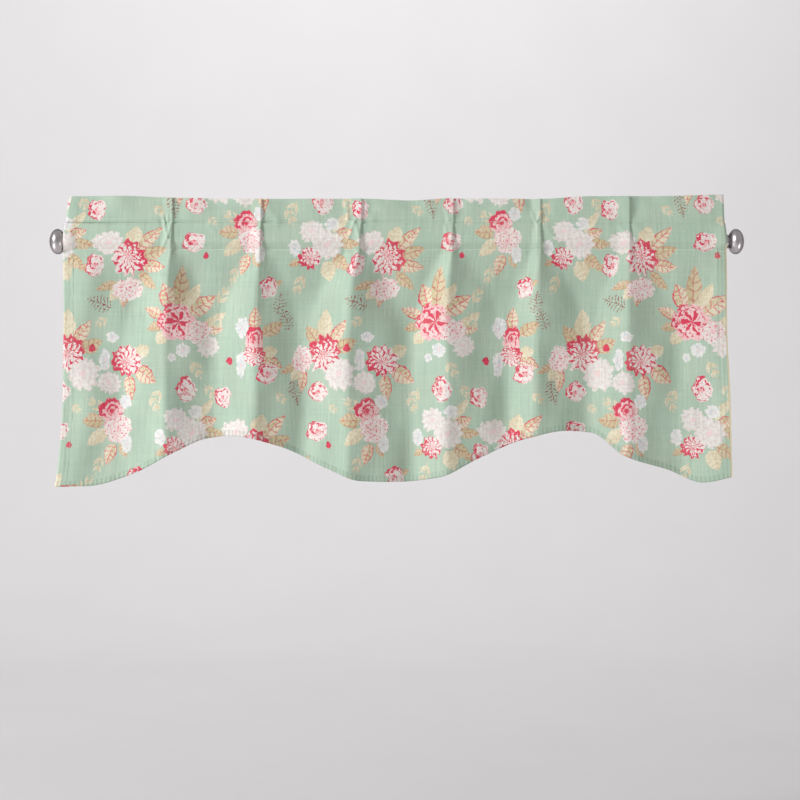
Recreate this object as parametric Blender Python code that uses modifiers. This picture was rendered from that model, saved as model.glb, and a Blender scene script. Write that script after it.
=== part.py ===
"""Window valance hanging on its curtain rod.

Metres, +Z up. The origin is on the rod's axis, half way along it. +X runs along the rod to the
right as seen from the room, the room is at -Y and the wall at +Y.

The valance is one sheet. Its head is turned down behind and stitched along two lines, which
makes a standing header over a rod pocket. Six tucks stand in the header, and below the pocket
each of them opens into a soft wave that runs down to the scalloped hem.
"""

import math
from collections import namedtuple

import bmesh
import bpy
import numpy as np

OBJECT_NAME = "window_valance"

# Rod and finials
ROD_RADIUS = 0.0095
PIECE_GAP = 0.0003
FINIAL_END = 0.547
KNOB_LENGTH = 0.0226
KNOB_RADIUS = 0.0199
KNOB_NECK_SHARE = 0.42
COLLAR_RADIUS = 0.0108
COLLAR_LENGTH = 0.0083
COLLAR_GROOVE = 0.0008
COLLAR_BEAD = 0.0014
TURNED_STEPS = 32
KNOB_STEPS = 12

# Cloth: the sheet, and how far its mid-line lies from the middle of a doubled stretch
SHEET_THICKNESS = 0.0012
HALF_PLY = 0.0011
ROD_CLEARANCE = 0.0007
POCKET_RADIUS = ROD_RADIUS + ROD_CLEARANCE + SHEET_THICKNESS / 2

# Heights of the cloth's lines over the rod's axis
UPPER_STITCH = 0.0315
LOWER_STITCH = -0.0128
TURNED_EDGE = -0.0162

# The pocket's two mouths stand open over the finials' collars, and their stitching dips
MOUTH_OPENING = 0.0034
MOUTH_DIP = 0.0030
MOUTH_LENGTH = 0.009
MOUTH_TAPER = 0.015

# How the folds hang: the sheet's mid-plane swings back as the waves open
SWING_BACK = 0.010
VALLEY_HALF_WIDTH = 0.005
FOOT_SOFTNESS = 2.2
BACK_TUCK_SHARE = -0.5
BACK_TURN_RATE = 3
MOST_OF_A_RUN = 0.47
SMALLEST_TURN = 1e-6

# Each fold, left to right. head, hem: where its ridge stands in the header and at the hem;
# tuck: its depth in the header; swell: its depth as a wave; rise: the width of its left flank
# in the header; valley: where the wave to its right reaches furthest back.
Fold = namedtuple("Fold", "head hem tuck swell rise valley")
FOLDS = (
    Fold(head=-0.3532, hem=-0.3720, tuck=0.0075, swell=0.025, rise=0.015, valley=-0.2976),
    Fold(head=-0.2133, hem=-0.2225, tuck=0.0075, swell=0.028, rise=0.022, valley=-0.1535),
    Fold(head=-0.0554, hem=-0.0770, tuck=0.0110, swell=0.030, rise=0.020, valley=0.0120),
    Fold(head=0.0892, hem=0.0775, tuck=0.0105, swell=0.029, rise=0.017, valley=0.1680),
    Fold(head=0.2266, hem=0.2190, tuck=0.0085, swell=0.026, rise=0.014, valley=0.3005),
    Fold(head=0.3666, hem=0.3625, tuck=0.0085, swell=0.026, rise=0.021, valley=0.4390),
)
FIRST_VALLEY = -0.4680
LEFT_EDGE_SWELL = 0.007
RIGHT_EDGE_SWELL = 0.021

# How the folds change with height. tuck: share of a fold's header depth; spread: how far it
# has opened into a wave; drop: the width of its right flank; radius: how its ridge is rounded.
Level = namedtuple("Level", "height tuck spread drop radius")
LEVELS = (
    Level(height=-0.390, tuck=2.0, spread=1.00, drop=0.030, radius=0.0220),
    Level(height=-0.180, tuck=2.0, spread=1.00, drop=0.030, radius=0.0180),
    Level(height=-0.110, tuck=2.0, spread=0.80, drop=0.030, radius=0.0140),
    Level(height=-0.060, tuck=1.8, spread=0.42, drop=0.026, radius=0.0100),
    Level(height=-0.032, tuck=1.4, spread=0.15, drop=0.018, radius=0.0060),
    Level(height=LOWER_STITCH, tuck=0.9, spread=0.03, drop=0.009, radius=0.0035),
    Level(height=0.000, tuck=1.2, spread=0.02, drop=0.010, radius=0.0036),
    Level(height=0.016, tuck=1.1, spread=0.01, drop=0.007, radius=0.0030),
    Level(height=UPPER_STITCH, tuck=0.7, spread=0.00, drop=0.003, radius=0.0024),
    Level(height=0.045, tuck=1.0, spread=0.00, drop=0.002, radius=0.0025),
    Level(height=0.075, tuck=0.9, spread=0.00, drop=0.002, radius=0.0025),
)

# The sheet's two side edges, by height
Edge = namedtuple("Edge", "height left right")
EDGES = (
    Edge(height=-0.386, left=-0.5389, right=0.5277),
    Edge(height=-0.340, left=-0.5325, right=0.5266),
    Edge(height=-0.240, left=-0.5262, right=0.5235),
    Edge(height=-0.139, left=-0.5246, right=0.5195),
    Edge(height=0.000, left=-0.5245, right=0.5199),
    Edge(height=0.027, left=-0.5240, right=0.5184),
    Edge(height=UPPER_STITCH, left=-0.5220, right=0.5165),
    Edge(height=0.063, left=-0.5175, right=0.5156),
    Edge(height=0.075, left=-0.5115, right=0.5152),
)

# The header's top edge and the hem, as heights over the rod's axis
Top = namedtuple("Top", "x height")
TOPS = (
    Top(x=-0.520, height=0.0712),
    Top(x=-0.430, height=0.0718),
    Top(x=-0.353, height=0.0690),
    Top(x=-0.213, height=0.0672),
    Top(x=-0.055, height=0.0675),
    Top(x=0.020, height=0.0648),
    Top(x=0.089, height=0.0680),
    Top(x=0.227, height=0.0672),
    Top(x=0.306, height=0.0714),
    Top(x=0.420, height=0.0716),
    Top(x=0.520, height=0.0746),
)
Hem = namedtuple("Hem", "x height")
HEMS = (
    Hem(x=-0.539, height=-0.3858),
    Hem(x=-0.488, height=-0.3848),
    Hem(x=-0.417, height=-0.3655),
    Hem(x=-0.351, height=-0.3320),
    Hem(x=-0.301, height=-0.3100),
    Hem(x=-0.261, height=-0.3052),
    Hem(x=-0.190, height=-0.3204),
    Hem(x=-0.108, height=-0.3576),
    Hem(x=-0.056, height=-0.3765),
    Hem(x=0.003, height=-0.3782),
    Hem(x=0.066, height=-0.3705),
    Hem(x=0.126, height=-0.3425),
    Hem(x=0.206, height=-0.3093),
    Hem(x=0.266, height=-0.2976),
    Hem(x=0.307, height=-0.3005),
    Hem(x=0.359, height=-0.3375),
    Hem(x=0.430, height=-0.3596),
    Hem(x=0.482, height=-0.3790),
    Hem(x=0.528, height=-0.3700),
)

# The grid on the sheet: columns close to each tuck, and rows from the turned edge behind,
# up over the top and down to the hem
COLUMN_OFFSETS = (
    -0.0130,
    -0.0026,
    -0.0009,
    0.0008,
    0.0025,
    0.0046,
    0.0066,
    0.0086,
    0.0108,
    0.0240,
)
COLUMNS_BETWEEN = 3
COLUMNS_AT_ENDS = 4
POCKET_ARC_ROWS = 4
POCKET_SLOPE_SHARES = (0.5,)
HEADER_SHARES = (0.0, 0.35, 1.0)
TOP_TURN = (-0.5, 0.5)
SKIRT_SHARES = (0.05, 0.11, 0.19, 0.29, 0.41, 0.54, 0.69, 0.84, 1.0)


def through_points(stations, values, at):
    """Reads a curve that passes through every point of a table and never overshoots them."""
    stations = np.asarray(stations, float)
    values = np.asarray(values, float)
    steps = np.diff(stations)
    slopes = np.diff(values) / steps
    tangents = np.concatenate([slopes[:1], np.zeros(len(steps) - 1), slopes[-1:]])
    same_way = slopes[:-1] * slopes[1:] > 0
    before = (steps[:-1] + 2 * steps[1:])[same_way]
    after = (2 * steps[:-1] + steps[1:])[same_way]
    blended = before / slopes[:-1][same_way] + after / slopes[1:][same_way]
    tangents[1:-1][same_way] = (before + after) / blended
    at = np.clip(at, stations[0], stations[-1])
    i = np.clip(np.searchsorted(stations, at, side="right") - 1, 0, len(steps) - 1)
    t = (at - stations[i]) / steps[i]
    start = values[i] * (1 + 2 * t) + tangents[i] * steps[i] * t
    end = values[i + 1] * (3 - 2 * t) - tangents[i + 1] * steps[i] * (1 - t)
    return start * (1 - t) ** 2 + end * t**2


def read(table, column, at):
    """Reads a column of one of the tables above, against the table's first column."""
    stations = [row[0] for row in table]
    return through_points(stations, [getattr(row, column) for row in table], at)


def blend(start, end, share):
    return start + (end - start) * share


def mouth_share(flat, marks):
    """1 at the pocket's two open ends, over the collars, and 0 along the rest of the rod."""
    from_end = np.minimum(flat, marks[-1] - flat)
    share = np.clip(1 - (from_end - MOUTH_LENGTH) / MOUTH_TAPER, 0, 1)
    return share * share * (3 - 2 * share)


def pocket_half_depth(height, mouth):
    """Half the pocket's depth: it wraps the rod and closes to a point at each stitch line."""
    radius = POCKET_RADIUS + MOUTH_OPENING * mouth
    tip = LOWER_STITCH - MOUTH_DIP * mouth
    on_rod = np.sqrt(np.clip(radius**2 - height**2, 0, None))
    above = (UPPER_STITCH - height) * radius / np.sqrt(UPPER_STITCH**2 - radius**2)
    below = (height - tip) * radius / np.sqrt(tip**2 - radius**2)
    depth = np.where(height > radius**2 / UPPER_STITCH, above, on_rod)
    depth = np.where(height < radius**2 / tip, below, depth)
    return np.clip(depth, HALF_PLY, None)


Line = namedtuple("Line", "x heading turn bend arc arc_start straight straight_start")


def fold_line(height, behind):
    """The corners of the folded sheet seen from above at some heights, left edge to right edge.

    behind is 0 in front of the rod and rises to 1 behind it, where the tucks turn away from
    the rod. Returns the corners' x, their depth towards the room, and each bend's radius.
    """
    tuck = read(LEVELS, "tuck", height) * blend(1, BACK_TUCK_SHARE, behind)
    spread = read(LEVELS, "spread", height)
    drop = read(LEVELS, "drop", height) * blend(1, -BACK_TUCK_SHARE, behind)
    radius = read(LEVELS, "radius", height)
    valleys = [FIRST_VALLEY] + [fold.valley for fold in FOLDS]
    corners = [(read(EDGES, "left", height), LEFT_EDGE_SWELL * spread, radius)]
    for fold, valley_before in zip(FOLDS, valleys):
        ridge = blend(fold.head, fold.hem, np.sqrt(spread))
        depth = blend(fold.tuck * tuck, fold.swell, spread)
        left = blend(ridge - fold.rise, valley_before + VALLEY_HALF_WIDTH, spread)
        right = blend(ridge + drop, fold.valley - VALLEY_HALF_WIDTH, spread)
        corners.append((left, 0 * depth, radius * FOOT_SOFTNESS))
        corners.append((ridge, depth, radius))
        corners.append((right, 0 * depth, radius * blend(1, FOOT_SOFTNESS, spread)))
    corners.append((read(EDGES, "right", height), RIGHT_EDGE_SWELL * spread, radius))
    return tuple(np.stack(values, axis=-1) for values in zip(*corners))


def rounded(x, depth, radius):
    """The folded line as straight runs joined by arcs, each arc as wide as its runs leave room."""
    lengths = np.hypot(np.diff(x, axis=-1), np.diff(depth, axis=-1))
    heading = np.arctan2(np.diff(depth, axis=-1), np.diff(x, axis=-1))
    turn = np.diff(heading, axis=-1)
    slope = np.maximum(np.abs(np.tan(turn / 2)), SMALLEST_TURN)
    room = MOST_OF_A_RUN * np.minimum(lengths[..., :-1], lengths[..., 1:])
    trim = np.minimum(radius[..., 1:-1] * slope, room)
    bend = trim / slope
    arc = bend * np.abs(turn)
    ends = np.zeros_like(trim[..., :1])
    straight = lengths - np.concatenate([ends, trim], -1) - np.concatenate([trim, ends], -1)
    arc_start = np.cumsum(straight[..., :-1] + arc, -1) - arc
    straight_start = np.concatenate([ends, arc_start + arc], -1)
    return Line(x[..., 0], heading, turn, bend, arc, arc_start, straight, straight_start)


def line_marks(line):
    """Distance along the sheet to its left edge, the middle of each ridge and its right edge."""
    ridges = (line.arc_start + line.arc / 2)[..., 1::3]
    whole = (line.straight_start + line.straight)[..., -1:]
    return np.concatenate([0 * whole, ridges, whole], -1)


def sheet_marks():
    """Where the edges and ridges lie on the flat sheet, averaged over the hung one's heights."""
    heights = np.linspace(LEVELS[0].height, LEVELS[-1].height, 40)
    line = rounded(*fold_line(heights, 0 * heights))
    return line_marks(line).mean(axis=0)


def hung_line(flat, height, behind, marks):
    """Place of points on the folded sheet's mid-line, and the sheet's heading there.

    flat is the distance from the left edge on the flat sheet, and height where the point hangs.
    """
    x, depth, radius = fold_line(height, behind)
    line = rounded(x, depth, radius)
    hung_marks = line_marks(line)
    i = np.clip(np.searchsorted(marks, flat, side="right") - 1, 0, len(marks) - 2)
    points = np.arange(len(flat))
    share = (flat - marks[i]) / (marks[i + 1] - marks[i])
    run = blend(hung_marks[points, i], hung_marks[points, i + 1], share)[:, None]
    on_straight = np.clip(run - line.straight_start, 0, line.straight)
    turned = np.sign(line.turn) * np.clip(run - line.arc_start, 0, line.arc) / line.bend
    before = line.heading[:, :-1]
    swing = line.bend * np.sign(line.turn)
    along_x = (np.cos(line.heading) * on_straight).sum(-1)
    along_x += (swing * (np.sin(before + turned) - np.sin(before))).sum(-1)
    along_depth = (np.sin(line.heading) * on_straight).sum(-1)
    along_depth -= (swing * (np.cos(before + turned) - np.cos(before))).sum(-1)
    heading = line.heading[:, 0] + turned.sum(-1)
    return x[:, 0] + along_x, depth[:, 0] + along_depth, heading


def hung_points(flat, height, side, marks):
    """World points of the hung sheet. side is 1 on its front ply and -1 on the ply behind."""
    half_depth = pocket_half_depth(height, mouth_share(flat, marks))
    opening = np.clip((half_depth - HALF_PLY) / (POCKET_RADIUS - HALF_PLY), 0, 1)
    behind = np.clip(opening * BACK_TURN_RATE, 0, 1) if side < 0 else 0 * opening
    x, depth, heading = hung_line(flat, height, behind, marks)
    swing = SWING_BACK * read(LEVELS, "spread", height)
    x = x - HALF_PLY * side * np.sin(heading)
    depth = depth + HALF_PLY * side * np.cos(heading) + side * (half_depth - HALF_PLY) - swing
    return np.stack([x, -depth, height], axis=-1)


def hem_heights(flat, marks):
    """The hem's height at each column, from where that column reaches the hem."""
    height = np.full(len(flat), HEMS[0].height)
    for _ in range(3):
        x = hung_line(flat, height, np.zeros(len(flat)), marks)[0]
        height = read(HEMS, "height", x)
    return height


def column_flats(marks):
    """Distances along the flat sheet at which the grid's columns stand."""
    columns = [0.0]
    for ridge in marks[1:-1]:
        tuck = [ridge + offset for offset in COLUMN_OFFSETS]
        between = COLUMNS_AT_ENDS if len(columns) == 1 else COLUMNS_BETWEEN
        columns += list(np.linspace(columns[-1], tuck[0], between + 2)[1:-1])
        columns += tuck
    return columns + list(np.linspace(columns[-1], marks[-1], COLUMNS_AT_ENDS + 2)[1:])


def pocket_heights():
    """Rows from the lower stitch line round the rod and up the slope to the upper stitch line."""
    lowest = math.asin(POCKET_RADIUS / LOWER_STITCH)
    highest = math.asin(POCKET_RADIUS / UPPER_STITCH)
    turns = np.linspace(lowest, highest, POCKET_ARC_ROWS)
    arc = [POCKET_RADIUS * math.sin(turn) for turn in turns]
    return [LOWER_STITCH] + arc + [blend(arc[-1], UPPER_STITCH, s) for s in POCKET_SLOPE_SHARES]


def sheet_rows(top, hem, mouth):
    """Height and side of each row of the grid, for columns whose top and hem are given."""
    fold_height = top - HALF_PLY
    dip = 1 - mouth * MOUTH_DIP / LOWER_STITCH
    pocket = [height * dip if height < 0 else height + 0 * dip for height in pocket_heights()]
    header = [blend(UPPER_STITCH, fold_height, share) for share in HEADER_SHARES]
    rows = [(TURNED_EDGE * dip, -1)]
    rows += [(height, -1) for height in pocket + header]
    rows += [(fold_height + HALF_PLY * math.sqrt(1 - turn**2), turn) for turn in TOP_TURN]
    rows += [(height, 1) for height in header[::-1] + pocket[::-1]]
    rows += [(blend(pocket[0], hem, share), 1) for share in SKIRT_SHARES]
    return rows


def make_material(name, color, roughness, metallic):
    material = bpy.data.materials.new(name)
    material.use_nodes = True
    shader = material.node_tree.nodes["Principled BSDF"]
    shader.inputs["Base Color"].default_value = (*color, 1)
    shader.inputs["Roughness"].default_value = roughness
    shader.inputs["Metallic"].default_value = metallic
    return material


def add_object(name, mesh, material, collection):
    mesh.materials.append(material)
    part = bpy.data.objects.new(name, mesh)
    collection.objects.link(part)
    return part


def make_cloth(collection, material):
    """The valance: a flat grid whose points are moved to where the cut sheet hangs."""
    marks = sheet_marks()
    flats = np.array(column_flats(marks))
    hem = hem_heights(flats, marks)
    top = read(TOPS, "height", hung_line(flats, np.full_like(hem, 0.06), 0 * hem, marks)[0])
    rows = sheet_rows(top, hem, mouth_share(flats, marks))
    grid = [hung_points(flats, height, side, marks) for height, side in rows]
    sheet = bmesh.new()
    bmesh.ops.create_grid(sheet, x_segments=len(flats) - 1, y_segments=len(rows) - 1, size=0.5)
    for vert in sheet.verts:
        column = round((vert.co.x + 0.5) * (len(flats) - 1))
        row = round((vert.co.y + 0.5) * (len(rows) - 1))
        vert.co = grid[row][column]
    mesh = bpy.data.meshes.new("valance_cloth")
    sheet.to_mesh(mesh)
    sheet.free()
    mesh.shade_smooth()
    cloth = add_object("valance_cloth", mesh, material, collection)
    thickness = cloth.modifiers.new("cloth thickness", "SOLIDIFY")
    thickness.thickness = SHEET_THICKNESS
    thickness.offset = 0
    thickness.use_even_offset = True
    thickness.use_quality_normals = True


def make_rod(collection, material):
    half_length = FINIAL_END - KNOB_LENGTH - COLLAR_LENGTH - PIECE_GAP
    bar = bmesh.new()
    bmesh.ops.create_cone(
        bar,
        cap_ends=True,
        segments=TURNED_STEPS,
        radius1=ROD_RADIUS,
        radius2=ROD_RADIUS,
        depth=2 * half_length,
    )
    mesh = bpy.data.meshes.new("rod")
    bar.to_mesh(mesh)
    bar.free()
    mesh.shade_smooth()
    mesh.set_sharp_from_angle(angle=math.radians(40))
    rod = add_object("rod", mesh, material, collection)
    rod.rotation_euler = (0, math.radians(90), 0)


def finial_profile():
    """Radius and height of the turned outline, from the knob's crown down to the collar's back."""
    crown = COLLAR_LENGTH + KNOB_LENGTH
    belly = COLLAR_LENGTH + KNOB_LENGTH / 2
    neck_turn = math.pi - math.asin(KNOB_NECK_SHARE)
    outline = [(0, crown)]
    for step in range(1, KNOB_STEPS + 1):
        turn = neck_turn * step / KNOB_STEPS
        outline.append((KNOB_RADIUS * math.sin(turn), belly + KNOB_LENGTH / 2 * math.cos(turn)))
    neck = outline[-1][1]
    groove = COLLAR_RADIUS - COLLAR_GROOVE
    outline += [
        (groove, neck),
        (groove, neck - COLLAR_GROOVE),
        (COLLAR_RADIUS, neck - COLLAR_BEAD),
        (COLLAR_RADIUS, COLLAR_GROOVE),
        (groove, 0),
        (0, 0),
    ]
    return outline


def make_finial(name, toward, collection, material):
    """A turned knob and collar. toward is -1 for the rod's left end and 1 for its right end."""
    outline = finial_profile()
    mesh = bpy.data.meshes.new(name)
    points = [(radius, 0, height) for radius, height in outline]
    mesh.from_pydata(points, [(i, i + 1) for i in range(len(points) - 1)], [])
    finial = add_object(name, mesh, material, collection)
    turning = finial.modifiers.new("turning", "SCREW")
    turning.steps = TURNED_STEPS
    turning.render_steps = TURNED_STEPS
    turning.use_merge_vertices = True
    turning.merge_threshold = 0.00005
    turning.use_smooth_shade = True
    finial.location = (toward * (FINIAL_END - KNOB_LENGTH - COLLAR_LENGTH), 0, 0)
    finial.rotation_euler = (0, toward * math.radians(90), 0)


def main():
    for item in list(bpy.data.objects):
        bpy.data.objects.remove(item)
    collection = bpy.data.collections.new(OBJECT_NAME)
    bpy.context.scene.collection.children.link(collection)
    cotton = make_material("sage printed cotton", (0.42, 0.55, 0.43), 0.85, 0.0)
    steel = make_material("rod steel", (0.42, 0.41, 0.42), 0.40, 1.0)
    pewter = make_material("satin pewter", (0.36, 0.34, 0.35), 0.30, 1.0)
    make_cloth(collection, cotton)
    make_rod(collection, steel)
    make_finial("finial_left", -1, collection, pewter)
    make_finial("finial_right", 1, collection, pewter)


main()
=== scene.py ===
"""Window valance hanging on its curtain rod, finished for its studio picture.

Metres, +Z up, the room at -Y. The valance is one sheet of slub-woven cotton: its head is turned
down behind and stitched twice, which makes a standing header over the rod pocket. Six tucks stand
in the header and open into soft waves below it.
"""

import math
from collections import namedtuple

import bmesh
import bpy
import numpy as np
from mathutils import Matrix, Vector


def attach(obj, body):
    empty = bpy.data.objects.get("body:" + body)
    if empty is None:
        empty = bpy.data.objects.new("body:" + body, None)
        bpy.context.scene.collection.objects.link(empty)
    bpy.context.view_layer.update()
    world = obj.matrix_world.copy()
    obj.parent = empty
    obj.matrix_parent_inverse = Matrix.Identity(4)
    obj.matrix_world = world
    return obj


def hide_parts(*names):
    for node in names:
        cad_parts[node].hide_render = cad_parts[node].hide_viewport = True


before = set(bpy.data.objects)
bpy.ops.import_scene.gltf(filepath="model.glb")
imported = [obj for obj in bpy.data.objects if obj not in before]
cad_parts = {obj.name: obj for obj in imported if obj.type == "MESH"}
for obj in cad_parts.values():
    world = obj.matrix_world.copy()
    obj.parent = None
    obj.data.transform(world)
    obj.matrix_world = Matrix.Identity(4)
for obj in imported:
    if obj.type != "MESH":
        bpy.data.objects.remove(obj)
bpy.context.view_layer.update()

# ---------------------------------------------------------------- sizes

# Rod and finials
ROD_RADIUS = 0.0095
FINIAL_END = 0.547
KNOB_LENGTH = 0.0254
KNOB_RADIUS = 0.0199
KNOB_NECK_SHARE = 0.42
COLLAR_RADIUS = 0.0108
COLLAR_LENGTH = 0.0055
COLLAR_GROOVE = 0.0008
COLLAR_BEAD = 0.0014
TURNED_STEPS = 128
KNOB_STEPS = 48

# Cloth: the sheet, and how far its mid-line lies from the middle of a doubled stretch
CLOTH_THICKNESS = 0.0005
HALF_PLY = 0.00048
ROD_CLEARANCE = 0.0009
POCKET_RADIUS = ROD_RADIUS + ROD_CLEARANCE + CLOTH_THICKNESS / 2

# Heights of the cloth's lines over the rod's axis
UPPER_STITCH = 0.0315
LOWER_STITCH = -0.0128
TURNED_EDGE = -0.0162

# The pocket's two mouths stand open over the finials' collars, and their stitching dips
MOUTH_OPENING = 0.0034
MOUTH_DIP = 0.0030
MOUTH_LENGTH = 0.009
MOUTH_TAPER = 0.015

# The lower stitching hangs under the front of the rod, and the skirt swings back below it
STITCH_LEAN = 0.0062
LEAN_FADE = 0.080

# How the folds hang: the sheet's mid-plane swings back as the waves open
SWING_BACK = 0.010
VALLEY_HALF_WIDTH = 0.005
FOOT_SOFTNESS = 2.2
BACK_TUCK_SHARE = -0.5
BACK_TURN_RATE = 3
MOST_OF_A_RUN = 0.47
SMALLEST_TURN = 1e-6

# Hems
BOTTOM_HEM = 0.0085
SIDE_HEM = 0.0170
HEM_PLY = -1.3
SELVEDGE_WIDTH = 0.0020

# Each fold, left to right. head, hem: where its ridge stands in the header and at the hem;
# lap: its height over the cloth beside it in the header; tuck: its depth just below the pocket;
# swell: its depth as a wave; rise: the width of its left flank in the header; valley: where the
# wave to its right reaches furthest back.
Fold = namedtuple("Fold", "head hem lap tuck swell rise valley")
FOLDS = (
    Fold(-0.3532, -0.3640, lap=0.0028, tuck=0.0075, swell=0.025, rise=0.015, valley=-0.2900),
    Fold(-0.2133, -0.2225, lap=0.0048, tuck=0.0075, swell=0.028, rise=0.017, valley=-0.1490),
    Fold(-0.0554, -0.0770, lap=0.0036, tuck=0.0110, swell=0.030, rise=0.019, valley=0.0205),
    Fold(0.0892, 0.0775, lap=0.0030, tuck=0.0105, swell=0.029, rise=0.015, valley=0.1725),
    Fold(0.2266, 0.2190, lap=0.0030, tuck=0.0085, swell=0.026, rise=0.013, valley=0.3030),
    Fold(0.3666, 0.3625, lap=0.0028, tuck=0.0085, swell=0.026, rise=0.018, valley=0.4490),
)
# The wave between the left edge and the first fold, and how far the two side edges stand out
FIRST_VALLEY = -0.4400
FIRST_VALLEY_SWELL = 0.003
LEFT_EDGE_SWELL = 0.010
LEFT_EDGE_SWELLS_OVER = 0.070
RIGHT_EDGE_SWELL = 0.021

# How the folds change with height. lap, tuck: shares of a fold's two depths; spread: how far it
# has opened into a wave; drop: the width of its right flank; radius: how its ridge is rounded.
Level = namedtuple("Level", "height lap tuck spread drop radius")
LEVELS = (
    Level(-0.390, lap=0.0, tuck=2.00, spread=1.00, drop=0.0300, radius=0.0180),
    Level(-0.180, lap=0.0, tuck=2.00, spread=1.00, drop=0.0300, radius=0.0150),
    Level(-0.110, lap=0.0, tuck=2.00, spread=0.80, drop=0.0300, radius=0.0120),
    Level(-0.060, lap=0.0, tuck=1.70, spread=0.40, drop=0.0240, radius=0.0090),
    Level(-0.032, lap=0.2, tuck=1.05, spread=0.14, drop=0.0140, radius=0.0052),
    Level(LOWER_STITCH, lap=0.7, tuck=0.30, spread=0.03, drop=0.0040, radius=0.0024),
    Level(0.000, lap=1.0, tuck=0.22, spread=0.02, drop=0.0022, radius=0.0020),
    Level(0.016, lap=1.0, tuck=0.12, spread=0.01, drop=0.0010, radius=0.0016),
    Level(UPPER_STITCH, lap=1.0, tuck=0.00, spread=0.00, drop=0.0008, radius=0.0013),
    Level(0.045, lap=1.0, tuck=0.03, spread=0.00, drop=0.0008, radius=0.0013),
    Level(0.075, lap=1.0, tuck=0.00, spread=0.00, drop=0.0008, radius=0.0013),
)

# The sheet's two side edges, by height
Edge = namedtuple("Edge", "height left right")
EDGES = (
    Edge(-0.386, -0.5389, 0.5277),
    Edge(-0.340, -0.5325, 0.5266),
    Edge(-0.240, -0.5262, 0.5235),
    Edge(-0.139, -0.5246, 0.5195),
    Edge(0.000, -0.5245, 0.5184),
    Edge(0.027, -0.5240, 0.5176),
    Edge(UPPER_STITCH, -0.5220, 0.5165),
    Edge(0.063, -0.5175, 0.5156),
    Edge(0.075, -0.5115, 0.5152),
)

# The header's top edge and the hem, as heights over the rod's axis
Top = namedtuple("Top", "x height")
TOPS = (
    Top(-0.520, 0.0712),
    Top(-0.430, 0.0718),
    Top(-0.353, 0.0690),
    Top(-0.213, 0.0672),
    Top(-0.055, 0.0675),
    Top(0.020, 0.0648),
    Top(0.089, 0.0680),
    Top(0.227, 0.0672),
    Top(0.306, 0.0714),
    Top(0.420, 0.0716),
    Top(0.520, 0.0746),
)
Hem = namedtuple("Hem", "x height")
HEMS = (
    Hem(-0.539, -0.3858),
    Hem(-0.488, -0.3848),
    Hem(-0.417, -0.3655),
    Hem(-0.351, -0.3320),
    Hem(-0.301, -0.3100),
    Hem(-0.261, -0.3052),
    Hem(-0.190, -0.3204),
    Hem(-0.108, -0.3576),
    Hem(-0.056, -0.3765),
    Hem(0.003, -0.3782),
    Hem(0.066, -0.3705),
    Hem(0.126, -0.3425),
    Hem(0.206, -0.3093),
    Hem(0.266, -0.2976),
    Hem(0.307, -0.3005),
    Hem(0.359, -0.3375),
    Hem(0.430, -0.3596),
    Hem(0.482, -0.3790),
    Hem(0.528, -0.3700),
)

# Creases about each tuck, as soft ridges (height over 0) or troughs, and last a broad swell by
# the left edge. x counts from the tuck's ridge, z from the rod's axis, all in millimetres. tuck
# numbers the folds from the left.
Crease = namedtuple("Crease", "tuck x z x_end z_end width height")
CREASES = (
    Crease(0, -13, 29, -7, 6, 2.0, 1.8),
    Crease(0, -2, 29, -7, 6, 2.0, 1.5),
    Crease(0, -7, 6, -16, -12, 2.2, 1.2),
    Crease(0, -16, 42, -12, 30, 2.0, 1.2),
    Crease(0, -8, 40, -7, 30, 1.8, 1.2),
    Crease(0, 58, 29, 66, 16, 3.0, 1.2),
    Crease(0, 70, 29, 74, 20, 2.6, 0.8),
    Crease(0, -11, 38, -9, 25, 1.7, -1.6),
    Crease(0, -20, 34, -17, 24, 2.0, -1.1),
    Crease(1, 5, 58, 26, 33, 6.0, 1.9),
    Crease(1, 3, 28, 24, 26, 2.4, 0.9),
    Crease(1, -14, 28, -5, 10, 2.4, 1.1),
    Crease(2, -24, 60, -22, 36, 2.4, 1.9),
    Crease(2, -22, 36, -12, 30, 2.2, 1.6),
    Crease(2, -3, 44, -12, 31, 2.2, 1.6),
    Crease(2, -13, 28, -20, 4, 2.4, 1.6),
    Crease(2, -10, 28, -4, 8, 2.4, 1.6),
    Crease(2, -20, 4, -10, -10, 2.4, 1.1),
    Crease(2, 5, 56, 16, 36, 5.0, 1.4),
    Crease(3, -14, 58, -8, 34, 3.0, 1.1),
    Crease(3, -13, 24, -6, -6, 2.4, 1.2),
    Crease(3, -3, 14, -7, -10, 2.0, 1.1),
    Crease(3, 10, 33, 60, 31, 2.4, 0.7),
    Crease(4, -14, 46, -5, 28, 2.2, 1.8),
    Crease(4, -2, 44, -5, 28, 2.0, 1.4),
    Crease(4, -5, 26, -7, -20, 3.0, 1.6),
    Crease(4, 6, 26, 22, 4, 4.0, 1.1),
    Crease(4, -9, 38, -4, 30, 1.7, -1.6),
    Crease(4, -2, 33, -9, 22, 1.7, -1.3),
    Crease(5, -16, 26, -4, 4, 4.0, 0.9),
    Crease(5, 8, 26, 22, 10, 5.0, 0.8),
    Crease(0, 14, 74, 12, 42, 7.5, -1.2),
    Crease(2, 16, 72, 13, 42, 7.5, -1.3),
    Crease(3, 14, 74, 12, 42, 8.0, -1.9),
    Crease(4, -17, 74, -14, 46, 6.0, -1.5),
    Crease(4, 14, 74, 12, 44, 7.0, -1.5),
    Crease(5, 14, 74, 12, 42, 8.0, -1.8),
    Crease(0, -138, -50, -142, -330, 29.0, 5.5),
)
MILLIMETRE = 0.001

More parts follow.
